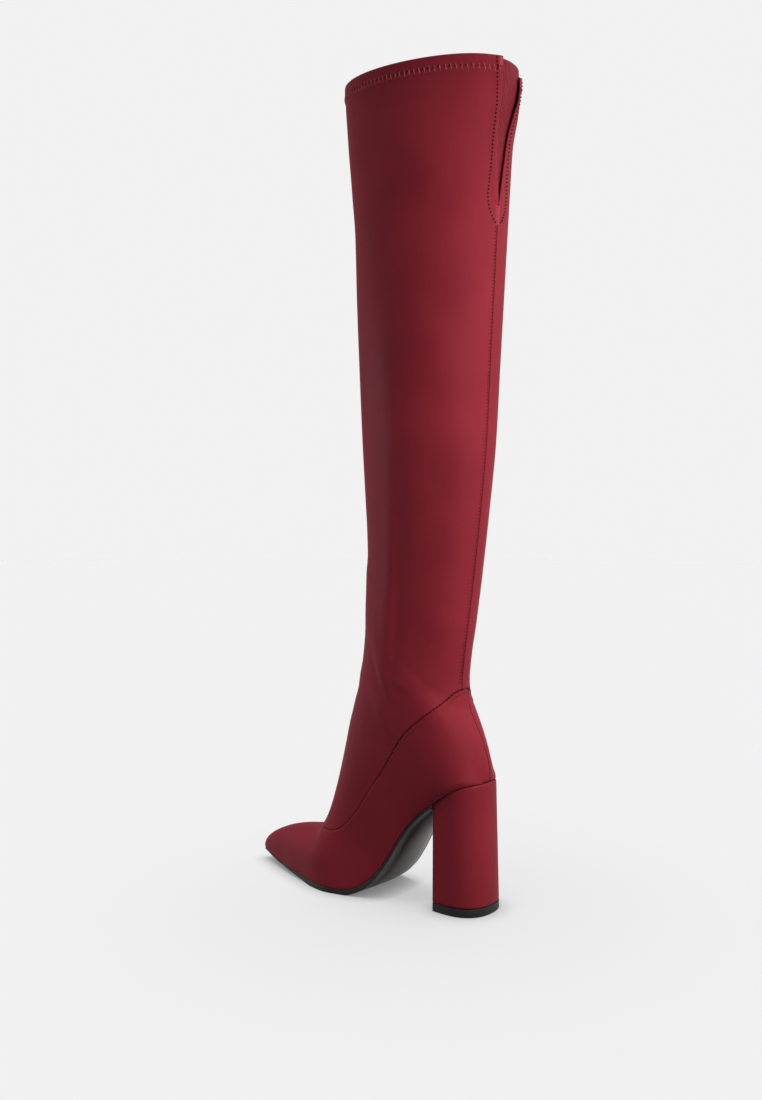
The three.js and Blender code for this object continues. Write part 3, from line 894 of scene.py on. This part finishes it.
def shaped(points, normals, near):
    """Skin points moved by folds, hem, flaps and seams."""
    y, z = points.T[1:]
    inner = y < BACK_TURN
    move = fold_depth(points) * fade_in(near["foot_seam"], 1, 9)
    move *= np.clip(near["rim"] / FOLD_FADE, 0.1, 1)
    for rows, share in ((RELIEF, 1.0), (SEWN_RELIEF, fade_in(z, SEWN_FROM, SEWN_SPAN))):
        for line, over, width, height in rows:
            move += height * share * bell(near[line] - over, width)
    move += HEM_STEP * smooth(fade_in(-near["rim"], -HEM - 0.5, 1.0))
    move -= rolled(near["rim"], RIM_ROUND)
    move += np.where(inner, *FLAP_STEP) * np.sqrt(fade_in(-near["notch"], -FLAP, FLAP))
    move -= rolled(near["notch"], NOTCH_ROUND)
    roll = bell(z - ROLL_HEIGHT, ROLL_SPAN) * bell(near["notch"], ROLL_REACH)
    move += np.where(inner, *FLAP_ROLL) * roll
    slip = np.array((0, 0, -1)) * rim_sag(points, near["rim"])[:, None]
    return points + normals * move[:, None] + slip


SATIN_SHINE = {"Specular IOR Level": 0.1, "Specular Tint": (1.0, 0.42, 0.48, 1)}


def satin(name, marks):
    """Burgundy stretch satin: fine twill, faint slub, soft sheen, soft blotches of colour that are
    partly its own uneven tone and partly painted light and shade for puckers, and painted shade in the
    seams.
    """

    def look(wire):
        place = on_piece(wire)
        # Painted light and shade: this noise blotches the colour between a deeper and a brighter tone,
        # partly the cloth's uneven tone and partly light and shade standing in for soft puckers.
        tone_and_pucker_shade = (noise(place, 15.0, 2.5) - 0.5) * 2.6 + 0.5
        slub = noise(stretched(place, 0.22), 900.0, 3.0)
        twill = bands(place, "DIAGONAL", 330.0, 0.6, 1.0)
        colour = (tone_and_pucker_shade * 0.8 + slub * 0.2).tint(SATIN_DEEP, SATIN_BRIGHT)
        height = twill * 0.25 + noise(place, 1500.0, 2.0) * 0.5 + slub * 0.25
        # Painted shade: along the marked lines the satin is darkened towards the seam colour, where
        # the cloth also dips.
        seam_dip_and_shade = None
        for mark, reach, strength in marks:
            line = wire.node("ShaderNodeAttribute", {"attribute_name": mark}, {}, out="Fac")
            close = line.near(reach) * strength
            seam_dip_and_shade = close if seam_dip_and_shade is None else seam_dip_and_shade.most(close)
        if seam_dip_and_shade is not None:
            colour = seam_dip_and_shade.tint(colour, SATIN_SEAM_SHADE)
            height = height - seam_dip_and_shade * 6.0
        return {
            "Base Color": colour,
            "Roughness": 0.5 + slub * 0.12 + tone_and_pucker_shade * 0.06,
            "Normal": bump(height, 0.00006),
        }

    sheen = {"Sheen Weight": 0.05, "Sheen Roughness": 0.3, "Sheen Tint": (1.0, 0.62, 0.70, 1)}
    return painted(name, look, {**SATIN_SHINE, **sheen})


def lining_look(wire):
    """The inside of the bonded satin: a matt tricot, dark burgundy, with fine wales."""
    place = on_piece(wire)
    wale = bands(place, "Y", 260.0, 2.0)
    fuzz = noise(place, 700.0, 4.0)
    return {
        "Base Color": (wale * 0.4 + fuzz * 0.6).tint(LINING_DEEP, LINING),
        "Roughness": 0.75 + fuzz * 0.15,
        "Normal": bump(wale + fuzz, 0.0001),
    }


def thicken(piece, depth):
    """Gives a sheet its thickness towards the inside, lined in the second material."""
    wall = piece.modifiers.new("wall", "SOLIDIFY")
    wall.thickness = depth / 1000
    wall.offset = -1
    wall.material_offset = 1
    bpy.context.view_layer.update()
    sheet = piece.data
    graph = bpy.context.evaluated_depsgraph_get()
    piece.data = bpy.data.meshes.new_from_object(piece.evaluated_get(graph))
    piece.modifiers.clear()
    bpy.data.meshes.remove(sheet)
    piece.data.name = piece.name


EASE_TURNS = 40
EASE_SHARE = 0.6
VAMP_SHARE = 0.8
WAIST = 0.42


def eased(shape):
    """Points of the skin with the rounds of the counter and the vamp evened out."""
    points = np.array([v.co for v in shape.verts])
    shape.verts.index_update()
    ends = np.array([(e.verts[0].index, e.verts[1].index) for e in shape.edges])
    share = (points[:, 0] - SEAT_BACK) / FOOT
    sole = np.array([sole_at(min(1.0, max(0.0, at)))[0] for at in share])
    free = fade_in(points[:, 2] - sole, 4, 8) * fade_in(-over_seam(points), 5, 8)
    counter = fade_in(-share, -WAIST, 0.08) * fade_in(np.abs(points[:, 1]), 7, 6)
    vamp = fade_in(share, WAIST, 0.06) * fade_in(-share, -0.86, 0.08)
    free *= EASE_SHARE * (counter + VAMP_SHARE * vamp)
    taken = np.concatenate([ends[:, 0], ends[:, 1]])
    given = np.concatenate([ends[:, 1], ends[:, 0]])
    count = np.bincount(taken, minlength=len(points))
    for _ in range(EASE_TURNS):
        for k in range(3):
            mean = np.bincount(taken, points[given, k], len(points)) / count
            points[:, k] += free * (mean - points[:, k])
    return points


def marked(piece, name, values):
    """Lays a number on every point of a piece, for its material to read."""
    layer = piece.data.attributes.new(name, "FLOAT", "POINT")
    layer.data.foreach_set("value", np.asarray(values, np.float32))


def skin_piece(name, keep, turned, materials):
    """One panel of the skin: the faces that keep chooses, shaped, marked and thickened."""
    shape = skin_shape(turned)
    for vert, place in zip(shape.verts, eased(shape)):
        vert.co = place
    shape.normal_update()
    points = np.array([v.co for v in shape.verts])
    normals = np.array([v.normal for v in shape.verts])
    chosen = keep(over_seam(np.array([f.calc_center_median() for f in shape.faces])))
    rings = [[v.index for v in f.verts] for f, wanted in zip(shape.faces, chosen) if wanted]
    shape.free()
    used = sorted({i for ring in rings for i in ring})
    number = {old: new for new, old in enumerate(used)}
    faces = [[number[i] for i in ring] for ring in rings]
    near = skin_distances(points[used], turned)
    moved = shaped(points[used], normals[used], near)
    piece = new_piece(name, moved, faces, materials)
    for mark, values in near.items():
        marked(piece, mark, values)
    surface = BVHTree.FromPolygons([Vector(p) for p in moved], faces)
    thicken(piece, WALL)
    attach(piece, "root")
    return piece, surface


# Lines where the satin dips and is darkened with painted shade: line, reach, strength.
seam_dip_and_shade_lines = [
    ("foot_seam", 0.6, 0.3),
    ("back_seam", 0.9, 0.65),
    ("notch", 0.5, 0.5),
]
boot_satin = satin("boot_satin", seam_dip_and_shade_lines)
boot_lining = painted(
    "knit_lining",
    lining_look,
    {"Sheen Weight": 0.25, "Sheen Roughness": 0.6, "Specular IOR Level": 0.15},
)

STRAY = 5.5
STRAY_FROM = 106.0
STRAY_SPAN = 66.0


def counter_turn(height):
    """How far round the counter's back seam has strayed to the inner side at a height."""
    return -STRAY * fade_in(height, STRAY_FROM, STRAY_SPAN)


foot_panel, foot_surface = skin_piece(
    "foot_panel", lambda over: over < 0, counter_turn, [boot_satin, boot_lining]
)
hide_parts("upper")

# The shaft: one length of the same satin round the leg, sewn down the back and to the foot
# panel. Its rim is turned in 12 mm and held with a zigzag, and the back is slit and faced.
shaft, shaft_surface = skin_piece(
    "shaft_panel", lambda over: over >= 0, lambda height: BACK_TURN, [boot_satin, boot_lining]
)
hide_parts("shaft")

# The gore: a shield of ribbed elastic in the same burgundy, sewn behind the notch so that the
# rim can stretch over the thigh. Its ribs run up and down.
GORE_THICK = 1.2
RIB = 1.7
RIB_HEIGHT = 0.22
GORE_DEPTH = 124.0
GORE_DROP = 0.5
GORE_LIFT = 1.2
RIM_CLEAR = 0.8
GORE_ROLL = 12.0
GORE_SIDE = 9.0
GORE_ROWS = 64
GORE_COLUMNS = 168
# Painted shade for the grooves between the elastic's ribs, not a colour of the yarn.
GROOVE_SHADE = (0.060, 0.006, 0.010, 1)


def gore_half(depth):
    """Half width of the gore at a depth below the rim."""
    return follow([(0, 19.6), (104, 16.8), (117, 10.0), (123.8, 0.8)], 1, depth)


def first_hit(surface, start, aim):
    """Where a ray meets a surface, and the surface's normal there, turned along the ray."""
    spot, out, _, _ = surface.ray_cast(Vector(start), Vector(aim))
    return None if spot is None else (spot, out if out.dot(aim) > 0 else -out)


def behind_leg(surface, y, z):
    """The point and outward direction of a surface straight behind the leg's middle."""
    return first_hit(surface, (float(axis_at(z)), y, z), (-1, 0, 0))


def elastic_look(wire):
    """Ribbed elastic: smooth satin ribs, with painted shade darkening the grooves between them."""
    place = on_piece(wire)
    groove = wire.node("ShaderNodeAttribute", {"attribute_name": "groove"}, {}, out="Fac")
    yarn = noise(place, 1400.0, 3.0)
    course = bands(place, "Z", 420.0, 0.4)
    return {
        "Base Color": (groove * 0.85 + yarn * 0.15).tint(SATIN_BRIGHT, GROOVE_SHADE),
        "Roughness": 0.48 + groove * 0.2,
        "Normal": bump(yarn * 0.4 + course * 0.6, 0.0001),
    }


def gore_piece():
    """The ribbed panel, laid inside the skin and standing off it where the flap rolls."""
    points = []
    grooves = []
    for depth in np.linspace(0, GORE_DEPTH * 0.9985, GORE_ROWS):
        half = gore_half(depth)
        z = RIM_BACK - GORE_DROP - depth
        for y in np.linspace(-half, half, GORE_COLUMNS):
            spot, out = behind_leg(last_form, y + BACK_TURN, min(z, RIM_BACK - RIM_CLEAR))
            rib = (1 + math.cos(2 * math.pi * y / RIB)) / 2
            lifted = GORE_LIFT * bell(z - ROLL_HEIGHT, GORE_ROLL) * fade_in(-y, 0, GORE_SIDE)
            sunk = WALL + GAP + RIB_HEIGHT * (1 - rib) - lifted
            points.append(tuple(Vector((spot.x, spot.y, z)) - out * sunk))
            grooves.append((1 - rib) ** 2)
    elastic = painted("ribbed_elastic", elastic_look, SATIN_SHINE)
    faces = grid_faces(GORE_ROWS, GORE_COLUMNS)
    piece = new_piece("back_gore_panel", points, faces, [elastic, boot_lining])
    marked(piece, "groove", grooves)
    if sum(face.normal.x for face in piece.data.polygons) > 0:
        piece.data.flip_normals()
    thicken(piece, GORE_THICK - RIB_HEIGHT)
    return piece


gore = gore_piece()
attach(gore, "root")
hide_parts("back_gore")

# The stitching: polyester thread, a shade darker than the satin, drawn as two copies of it: one
# in painted shade, far darker than the thread, and one with a painted highlight, far lighter.
# A zigzag holds the hem, its strokes one way lit and the other way shaded, a lockstitch runs
# round the facing, bars close the notch and its corners, and short stitches cross the back seam
# and the upper third of the foot seam. All but the lit zigzag strokes and the bars are shaded.
THREAD = 0.2
# The thread in painted shade, far darker than it is, and the thread with a painted highlight, far
# lighter.
THREAD_SHADED_COLOUR = (0.030, 0.0020, 0.0036, 1)
THREAD_LIT_COLOUR = (0.600, 0.1000, 0.1300, 1)


def thread_finish(name, colour):
    """Twisted polyester thread with a little shine."""
    darker = (*[c * 0.6 for c in colour[:3]], 1)

    def look(wire):
        twist = bands(on_piece(wire), "DIAGONAL", 900.0)
        return {
            "Base Color": twist.tint(darker, colour),
            "Roughness": 0.45 + twist * 0.1,
            "Normal": bump(twist, 0.00005),
        }

    return painted(name, look, {"Specular IOR Level": 0.1})


THREAD_SIDES = 6
THREAD_STEPS = (0.0, 0.12, 0.35, 0.65, 0.88, 1.0)
THREAD_ARCH = 2.0
THREAD_SUNK = 1.1


def sew(name, stitches, radius, material):
    """Short threads, each from one point of the cloth to another and arched between them."""
    points = []
    faces = []
    one_thread = ring_faces(len(THREAD_STEPS), THREAD_SIDES)
    for (a, out_a), (b, out_b) in stitches:
        faces += [tuple(len(points) + i for i in face) for face in one_thread]
        run = (b - a).normalized()
        for t in THREAD_STEPS:
            out = out_a.lerp(out_b, t).normalized()
            across = run.cross(out).normalized()
            arch = THREAD_ARCH * math.sin(math.pi * t) ** 0.5 - THREAD_SUNK
            centre = a.lerp(b, t) + out * (radius * arch)
            for turn in np.arange(THREAD_SIDES) * (2 * math.pi / THREAD_SIDES):
                aside = across * (radius * math.cos(turn)) + out * (radius * math.sin(turn))
                points.append(tuple(centre + aside))
    piece = closed_piece(name, points, faces, [material])
    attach(piece, "root")


def spaced(hits, pitch):
    """Every hit that lies at least a pitch past the last one taken."""
    taken = []
    for hit in hits:
        if hit is not None and (not taken or (hit[0] - taken[-1][0]).length >= pitch):
            taken.append(hit)
    return taken


def round_leg(angle, below):
    """The shaft's skin at an angle from the front, a distance below the rim."""
    z = BOOT - below
    aim = (math.cos(angle), math.sin(angle), 0)
    for _ in range(4):
        hit = first_hit(shaft_surface, (float(axis_at(z)), 0, z), aim)
        if hit is None:
            return None
        here = np.array([hit[0]])
        z += float(rim_height(here)[0] - rim_sag(here, below)[0]) - below - hit[0].z
    return hit


def along_rim(below):
    """Points on the shaft at even steps round the leg, from the notch's outer edge."""
    angles = np.linspace(RIM_SPAN, -RIM_SPAN, 1400)
    return spaced([round_leg(float(angle), below) for angle in angles], ZIGZAG)


# Two copies of the one thread: in painted shade, and with a painted highlight.
thread = thread_finish("shaded_thread_copy", THREAD_SHADED_COLOUR)
lit_thread_copy = thread_finish("lit_thread_copy", THREAD_LIT_COLOUR)

RIM_SPAN = math.radians(171)
ZIGZAG = 1.95
ZIGZAG_RISE = 4.6
ZIGZAG_DROP = 0.4
upper_row = along_rim(HEM - ZIGZAG_RISE)
lower_row = along_rim(HEM + ZIGZAG_DROP)
count = min(len(upper_row), len(lower_row))
down_strokes = [(upper_row[i + 1], lower_row[i]) for i in range(1, count - 1, 2)]
up_strokes = [(lower_row[i + 1], upper_row[i]) for i in range(0, count - 1, 2)]
sew("hem_zigzag_down", down_strokes, THREAD * 1.9, lit_thread_copy)
sew("hem_zigzag_up", up_strokes, THREAD * 1.4, thread)


def behind_shaft(aside, below):
    """The shaft's skin beside the line of the back seam, a distance below the rim."""
    return behind_leg(shaft_surface, BACK_TURN + aside, RIM_BACK - float(below))


NOTCH_SIDES = ((1, 0), (-1, RIM_SAG))
FACING_TOP = 2.0
FACING_END = 123.6
FACING_PITCH = 2.8
FACING_SHARE = 0.42
facing_stitches = []
for side, sag in NOTCH_SIDES:
    hits = []
    for depth in np.linspace(FACING_TOP + sag, FACING_END, 900):
        half = float(np.interp(depth, facing_depth, facing_half))
        hits.append(behind_shaft(side * half, depth))
    row = spaced(hits, FACING_PITCH)
    for first, second in zip(row, row[1:]):
        end = first[0].lerp(second[0], FACING_SHARE)
        facing_stitches.append((first, (end, second[1])))
sew("facing_stitches", facing_stitches, THREAD * 3.0, thread)

SEAM_PITCH = 2.7
SEAM_REACH = 2.6
back_stitches = []
for depth in np.arange(NOTCH_DEPTH + 18, RIM_BACK - 178, SEAM_PITCH):
    back_stitches.append((behind_shaft(SEAM_REACH, depth), behind_shaft(0.2, depth + 0.5)))
sew("back_seam_stitches", back_stitches, THREAD * 1.7, thread)

BAR_PITCH = 0.75
BAR_SLANT = 0.4
CORNER_PITCH = 0.7
CORNER_BAR = (1.0, 4.4)
bars = []
for number, depth in enumerate(np.arange(NOTCH_DEPTH + 15, NOTCH_DEPTH + 1, -BAR_PITCH)):
    slant = -BAR_SLANT if number % 2 else BAR_SLANT
    near = behind_shaft(SEAM_REACH, depth + slant)
    bars.append((near, behind_shaft(-SEAM_REACH, depth - slant)))
for side, sag in NOTCH_SIDES:
    for depth in np.arange(1.6, 7.6, CORNER_PITCH) + sag:
        near, far = [side * (notch_edge(RIM_BACK - depth) + off) for off in CORNER_BAR]
        bars.append((behind_shaft(near, depth), behind_shaft(far, depth + 0.3)))
sew("bar_stitches", bars, THREAD * 1.1, lit_thread_copy)


def beside_leg(x, z, side):
    """The skin straight out to one side of a point in the side view."""
    hits = [first_hit(skin, (x, 0, z), (0, side, 0)) for skin in (shaft_surface, foot_surface)]
    return min((hit for hit in hits if hit), key=lambda hit: abs(hit[0].y), default=None)


CROSS_PITCH = 3.0
CROSS_DROP = 1.3
CROSS_SLANT = 0.5
CROSSED_TO = 0.345
cross_stitches = []
for side in (1, -1):
    last_spot = None
    for x in np.linspace(seam_x[1] + 2.0, foot_x(CROSSED_TO), 700):
        z = float(np.interp(x, seam_x, seam_z))
        slope = float(np.interp(x, seam_x, seam_slope))
        tilt = 1 / math.hypot(1, slope)
        drop = CROSS_DROP * tilt
        over = beside_leg(x - slope * tilt, z + tilt, side)
        under = beside_leg(x + slope * drop + CROSS_SLANT, z - drop, side)
        if over is None or under is None:
            continue
        if last_spot is None or (over[0] - last_spot).length > CROSS_PITCH:
            cross_stitches.append((over, under))
            last_spot = over[0]
sew("foot_seam_stitches", cross_stitches, THREAD * 1.3, thread)

# The outsole: one thin moulded rubber sheet from the breast of the heel to the toe, black, with
# a slightly shiny underside and a fine pebbled tread under the ball. It is glued to the upper.
SOLE_EDGE = 0.4
LEAST_EDGE = 0.9
CROWN = 4.4
CROWN_SHARE = 0.65
RUBBER = (0.0080, 0.0073, 0.0068, 1)
RUBBER_WORN = (0.0260, 0.0235, 0.0220, 1)

# Places along the foot and how far the edge is pared there, or thinned for the toe. Both draw
# the edge up and the flat underside in, by these shares.
PARED = ((0.36, 0.46, 0.9, 1.0), (1.0, 0.0, 0.0, 0.3))
THINNED = ((0.66, 0.84), (0.0, 1.0))
PARED_UP = 0.4
THINNED_UP = 0.5
PARED_IN = 0.24
THINNED_IN = 0.14


def sole_look(wire):
    """Black moulded rubber with a faint pebble, dulled by dust."""
    place = on_piece(wire)
    pebble = wire.node("ShaderNodeTexVoronoi", {}, {"Vector": place, "Scale": 900.0}, out="Distance")
    dust = noise(place, 70.0, 7.0)
    return {
        "Base Color": dust.tint(RUBBER, RUBBER_WORN),
        "Roughness": 0.42 + dust * 0.16,
        "Normal": bump(pebble, 0.00008, 0.5),
    }


def sole_section(at, half, thick):
    """Flat on top, with a full edge at the ball and one pared thin at the waist and the toe."""
    pared = np.interp(at, *PARED)
    thinned = np.interp(at, *THINNED)
    edge = thick - (thick - GAP - LEAST_EDGE) * (PARED_UP * pared + THINNED_UP * thinned)
    shoulder = half * (1 - PARED_IN * pared - THINNED_IN * thinned)
    top = [(out * (half - 0.25), -GAP) for out in np.linspace(-1, 1, 13)]
    reach = min(0.6, (edge - GAP) / 2)
    side = [(half, -GAP - 0.25), (half, -edge + reach)]
    for turn in np.linspace(0.4, math.pi / 2, 4):
        side.append((half - reach * (1 - math.cos(turn)), -edge + reach * (1 - math.sin(turn))))
    bank = []
    for t in np.linspace(0, 1, 10)[1:]:
        out = half - reach + (shoulder - half + reach) * t
        bank.append((out, -edge + (edge - thick) * smooth(t)))
    crown = min(CROWN, CROWN_SHARE * (sole_at(at)[0] - thick)) * pared
    low = []
    for out in np.linspace(0.92, -0.92, 15):
        low.append((out * shoulder, -thick - crown * (1 - out * out) ** 0.7))
    right = side + bank
    left = [(-out, depth) for out, depth in reversed(right)]
    return top + right + low + left


SOLE_INSET = 0.0012
SOLE_END = 0.9995
breast_share = (BREAST + GAP - SEAT_BACK) / FOOT
sole_turns = 1 - (1 - np.linspace(0, 0.9999, 110)) ** 1.5
sole_places = breast_share + SOLE_INSET + (SOLE_END - breast_share) * sole_turns
sole_rubber = painted("sole_rubber", sole_look, {"Specular IOR Level": 0.22})
outsole = slab("outsole_sheet", sole_places, SOLE_EDGE, sole_section, [sole_rubber])
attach(outsole, "root")
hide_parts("outsole")

# The heel: a moulded block covered in the same satin, glued up from under the seat. The breast
# is flat, the back is rounded, and the cover is drawn in under the lift.
TIP_WIDTH = 53.0
CORNER = 2.5
LIFT = 6.4
HEEL_ROUND = 2.3
WIDEST = 0.42
BREAST_TAPER = 0.94
SEAT_HALF = 0.352 * BALL - 0.4


def heel_outline(z, grown):
    """Plan of the heel at a height, drawn out by an amount, from the breast round the back."""
    up = min(1.0, z / SEAT)
    back = SEAT_BACK - FLARE * (1 - up)
    half = TIP_WIDTH / 2 + up * (SEAT_HALF - TIP_WIDTH / 2)
    widest = BREAST - (BREAST - back) * WIDEST
    front_half = half * BREAST_TAPER
    front = BREAST - CORNER
    points = [(BREAST, y) for y in np.linspace(0, front_half - CORNER, 14)[:-1]]
    for turn in np.linspace(0, math.pi / 2, 8):
        aside = front_half - CORNER * (1 - math.sin(turn))
        points.append((BREAST - CORNER * (1 - math.cos(turn)), aside))
    for t in np.linspace(0, 1, 10)[1:-1]:
        aside = front_half + (half - front_half) * math.sin(t * math.pi / 2)
        points.append((front + (widest - front) * t, aside))
    for turn in np.linspace(0, math.pi / 2, 44):
        aside = half * max(0.0, math.cos(turn)) ** (2 / HEEL_ROUND)
        points.append((widest - (widest - back) * math.sin(turn) ** (2 / HEEL_ROUND), aside))
    ring = np.array(points + [(x, -y) for x, y in points[1:-1]][::-1])
    away = ring - np.array(((BREAST + back) / 2, 0))
    return ring + away / np.linalg.norm(away, axis=1)[:, None] * grown


def seat_under(x):
    """Height of the underside of the seat over x."""
    spots = np.array([sole_frame(at) for at in np.linspace(0, 0.3, 80)])
    xs = spots[:, 0] - GAP * spots[:, 2]
    return np.interp(x, xs, spots[:, 1] - GAP * spots[:, 3])


def heel_ring(heights, grown):
    """The outline with every point taken at its own height."""
    low = heel_outline(0.0, grown)
    high = heel_outline(SEAT, grown)
    return low + (high - low) * (heights / SEAT)[:, None]


def heel_piece(name, levels, bottom, top_of, material):
    """A solid through heel outlines. Each level is (share of the height, drawn out by)."""
    points = []
    for share, grown in levels:
        ring = heel_outline(SEAT * share, grown)
        for _ in range(3):
            heights = bottom + share * (top_of(ring[:, 0]) - bottom)
            ring = heel_ring(heights, grown)
        points += [(x, y, z) for (x, y), z in zip(ring, heights)]
    faces = ring_faces(len(levels), len(points) // len(levels))
    piece = closed_piece(name, points, faces, [material])
    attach(piece, "root")
    return piece


cover_levels = [(0.0, -1.2), (0.002, -0.5), (0.008, -0.1), (0.016, 0.0)]
cover_levels += [(share, 0.0) for share in np.linspace(0.05, 0.97, 30)]
cover_levels += [(0.985, -0.05), (0.995, -0.3), (1.0, -0.9)]
heel_satin = satin("heel_satin", [])
heel = heel_piece("covered_heel", cover_levels, LIFT + GAP, seat_under, heel_satin)
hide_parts("heel")

# The lift: the black rubber top piece that wears on the ground, nailed and glued under the
# heel and trimmed flush with its cover.


def lift_look(wire):
    """Dense black rubber, finely buffed round the edge."""
    lines = noise(stretched(on_piece(wire), 14.0), 160.0, 5.0)
    return {
        "Base Color": lines.tint(RUBBER, RUBBER_WORN),
        "Roughness": 0.38 + lines * 0.2,
        "Normal": bump(lines, 0.0001),
    }


lift_levels = [(0.0, -0.5), (0.03, -0.15), (0.09, 0.0)]
lift_levels += [(share, 0.0) for share in np.linspace(0.2, 0.85, 6)]
lift_levels += [(0.93, 0.0), (0.98, -0.12), (1.0, -0.4)]
lift_rubber = painted("lift_rubber", lift_look, {"Specular IOR Level": 0.2})
lift = heel_piece(
    "heel_top_piece", lift_levels, 0.0, lambda x: np.full(len(x), LIFT), lift_rubber
)
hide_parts("heel_lift")

# The set: a plain pale floor and a backdrop of the same white. A soft sky, brightest overhead
# and to one side, and three soft lamps light the boot alone. A small lamp stands in for the
# light that the floor throws up under the sole, and a broad sun lays the floor's faint shadow,
# deepened close under the boot by a painted shadow in the floor's glow.
WHITE = 0.883
FLOOR_SHARE = 0.12
FLOOR_GLOW = 0.529
SHADOW_REACH = 0.016
SHADOW = 0.30
FLOOR_HALF = 40000
WALL_RADIUS = 30000
WALL_SIDES = 48


def grey(value):
    return (value, value, value, 1)


def stage_sheet(name, points, faces, look, fixed):
    """A piece of the set, left out of the boot."""
    sheet = new_piece(name, points, faces, [painted(name + "_white", look, fixed)], rounded=False)
    sheet.visible_diffuse = False
    sheet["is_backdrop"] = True
    return sheet


def floor_look(wire):
    """White, with a painted shadow in its glow only where the boot hides it from close above."""
    open_sky = wire.node("ShaderNodeAmbientOcclusion", {}, {"Distance": SHADOW_REACH}, out="AO")
    return {"Emission Color": open_sky.tint(grey(SHADOW), grey(1))}


floor = stage_sheet(
    "floor",
    [(x * FLOOR_HALF, y * FLOOR_HALF, 0) for x, y in ((-1, -1), (1, -1), (1, 1), (-1, 1))],
    [(0, 1, 2, 3)],
    floor_look,
    {
        "Base Color": grey(FLOOR_SHARE),
        "Roughness": 1.0,
        "Specular IOR Level": 0.0,
        "Emission Strength": FLOOR_GLOW,
    },
)

wall_points = []
for level in (-9000, 60000):
    for turn in np.linspace(0, 2 * math.pi, WALL_SIDES + 1)[:-1]:
        wall_points.append((WALL_RADIUS * math.cos(turn), WALL_RADIUS * math.sin(turn), level))
wall = stage_sheet(
    "backdrop",
    wall_points,
    ring_faces(2, WALL_SIDES)[:WALL_SIDES] + [tuple(range(WALL_SIDES, 2 * WALL_SIDES))],
    lambda wire: {},
    {
        "Base Color": grey(0),
        "Specular IOR Level": 0.0,
        "Emission Color": grey(1),
        "Emission Strength": WHITE,
    },
)
wall.visible_glossy = False
wall.visible_shadow = False

SKY = [(0.00, 0.02), (0.44, 0.04), (0.54, 0.12), (0.78, 0.36), (1.00, 1.00)]
SKY_ACROSS = -0.486
SKY_ALONG = -0.348
SKY_POWER = 1.25
world = bpy.data.worlds.new("studio")
bpy.context.scene.world = world
world.use_nodes = True
sky_place = Wire(world.node_tree).node("ShaderNodeTexCoord", {}, {}, out="Generated")
across, along, up = [
    sky_place.node("ShaderNodeSeparateXYZ", {}, {0: sky_place}, out=axis) for axis in "XYZ"
]
sky_stops = {"stops": [(place, grey(light)) for place, light in SKY]}
sky = sky_place.node("ShaderNodeValToRGB", sky_stops, {0: up * 0.5 + 0.5})
strength = across * SKY_ACROSS + along * SKY_ALONG + SKY_POWER
background = world.node_tree.nodes["Background"]
world.node_tree.links.new(sky.socket, background.inputs["Color"])
world.node_tree.links.new(strength.socket, background.inputs["Strength"])

boot_pieces = bpy.data.collections.new("boot")
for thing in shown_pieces():
    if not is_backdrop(thing):
        boot_pieces.objects.link(thing)

overhead = bpy.data.lights.new("floor_sun", "SUN")
overhead.energy = 7.0
overhead.angle = math.radians(44)
floor_sun = bpy.data.objects.new("floor_sun", overhead)
floor_only = bpy.data.collections.new("floor_only")
floor_only.objects.link(floor)
floor_sun.light_linking.receiver_collection = floor_only
bpy.context.scene.collection.objects.link(floor_sun)


def lamp(name, place, aim, size, power, colour):
    """A large rectangular soft lamp that lights the boot alone."""
    data = bpy.data.lights.new(name, "AREA")
    data.shape = "RECTANGLE"
    data.size, data.size_y = size
    data.energy = power
    data.color = colour
    made = bpy.data.objects.new(name, data)
    made.location = place
    made.rotation_euler = (Vector(aim) - Vector(place)).to_track_quat("-Z", "Y").to_euler()
    made.light_linking.receiver_collection = boot_pieces
    bpy.context.scene.collection.objects.link(made)
    return made


lamp("key_lamp", (-0.80, -0.78, 1.20), (0, 0, 0.40), (0.7, 0.9), 5.4, (1.0, 0.97, 0.96))
lamp("side_lamp", (-0.603, 0.122, 0.43), (0, 0, 0.43), (0.3, 0.3), 3.9, (1.0, 0.97, 0.96))
lamp("edge_lamp", (1.05, 0.40, 0.42), (0, 0, 0.35), (0.5, 0.5), 4.2, (1.0, 0.95, 0.97))
sole_only = bpy.data.collections.new("sole_only")
sole_only.objects.link(outsole)
bounce = lamp("floor_bounce", (-0.16, -0.34, 0.05), (0.0, 0, 0.08), (0.2, 0.1), 8.0, (1, 0.98, 0.96))
bounce.light_linking.receiver_collection = sole_only

camera = bpy.data.objects.new("camera", bpy.data.cameras.new("camera"))
camera.location = (-0.4244, 0.7167, 0.2831)
camera.rotation_euler = (math.radians(90), 0, math.radians(215.5))
camera.data.lens = 34.30
camera.data.sensor_width = 36.0
camera.data.clip_start = 0.01
bpy.context.scene.collection.objects.link(camera)
bpy.context.scene.camera = camera
bpy.context.scene.view_settings.view_transform = "Standard"
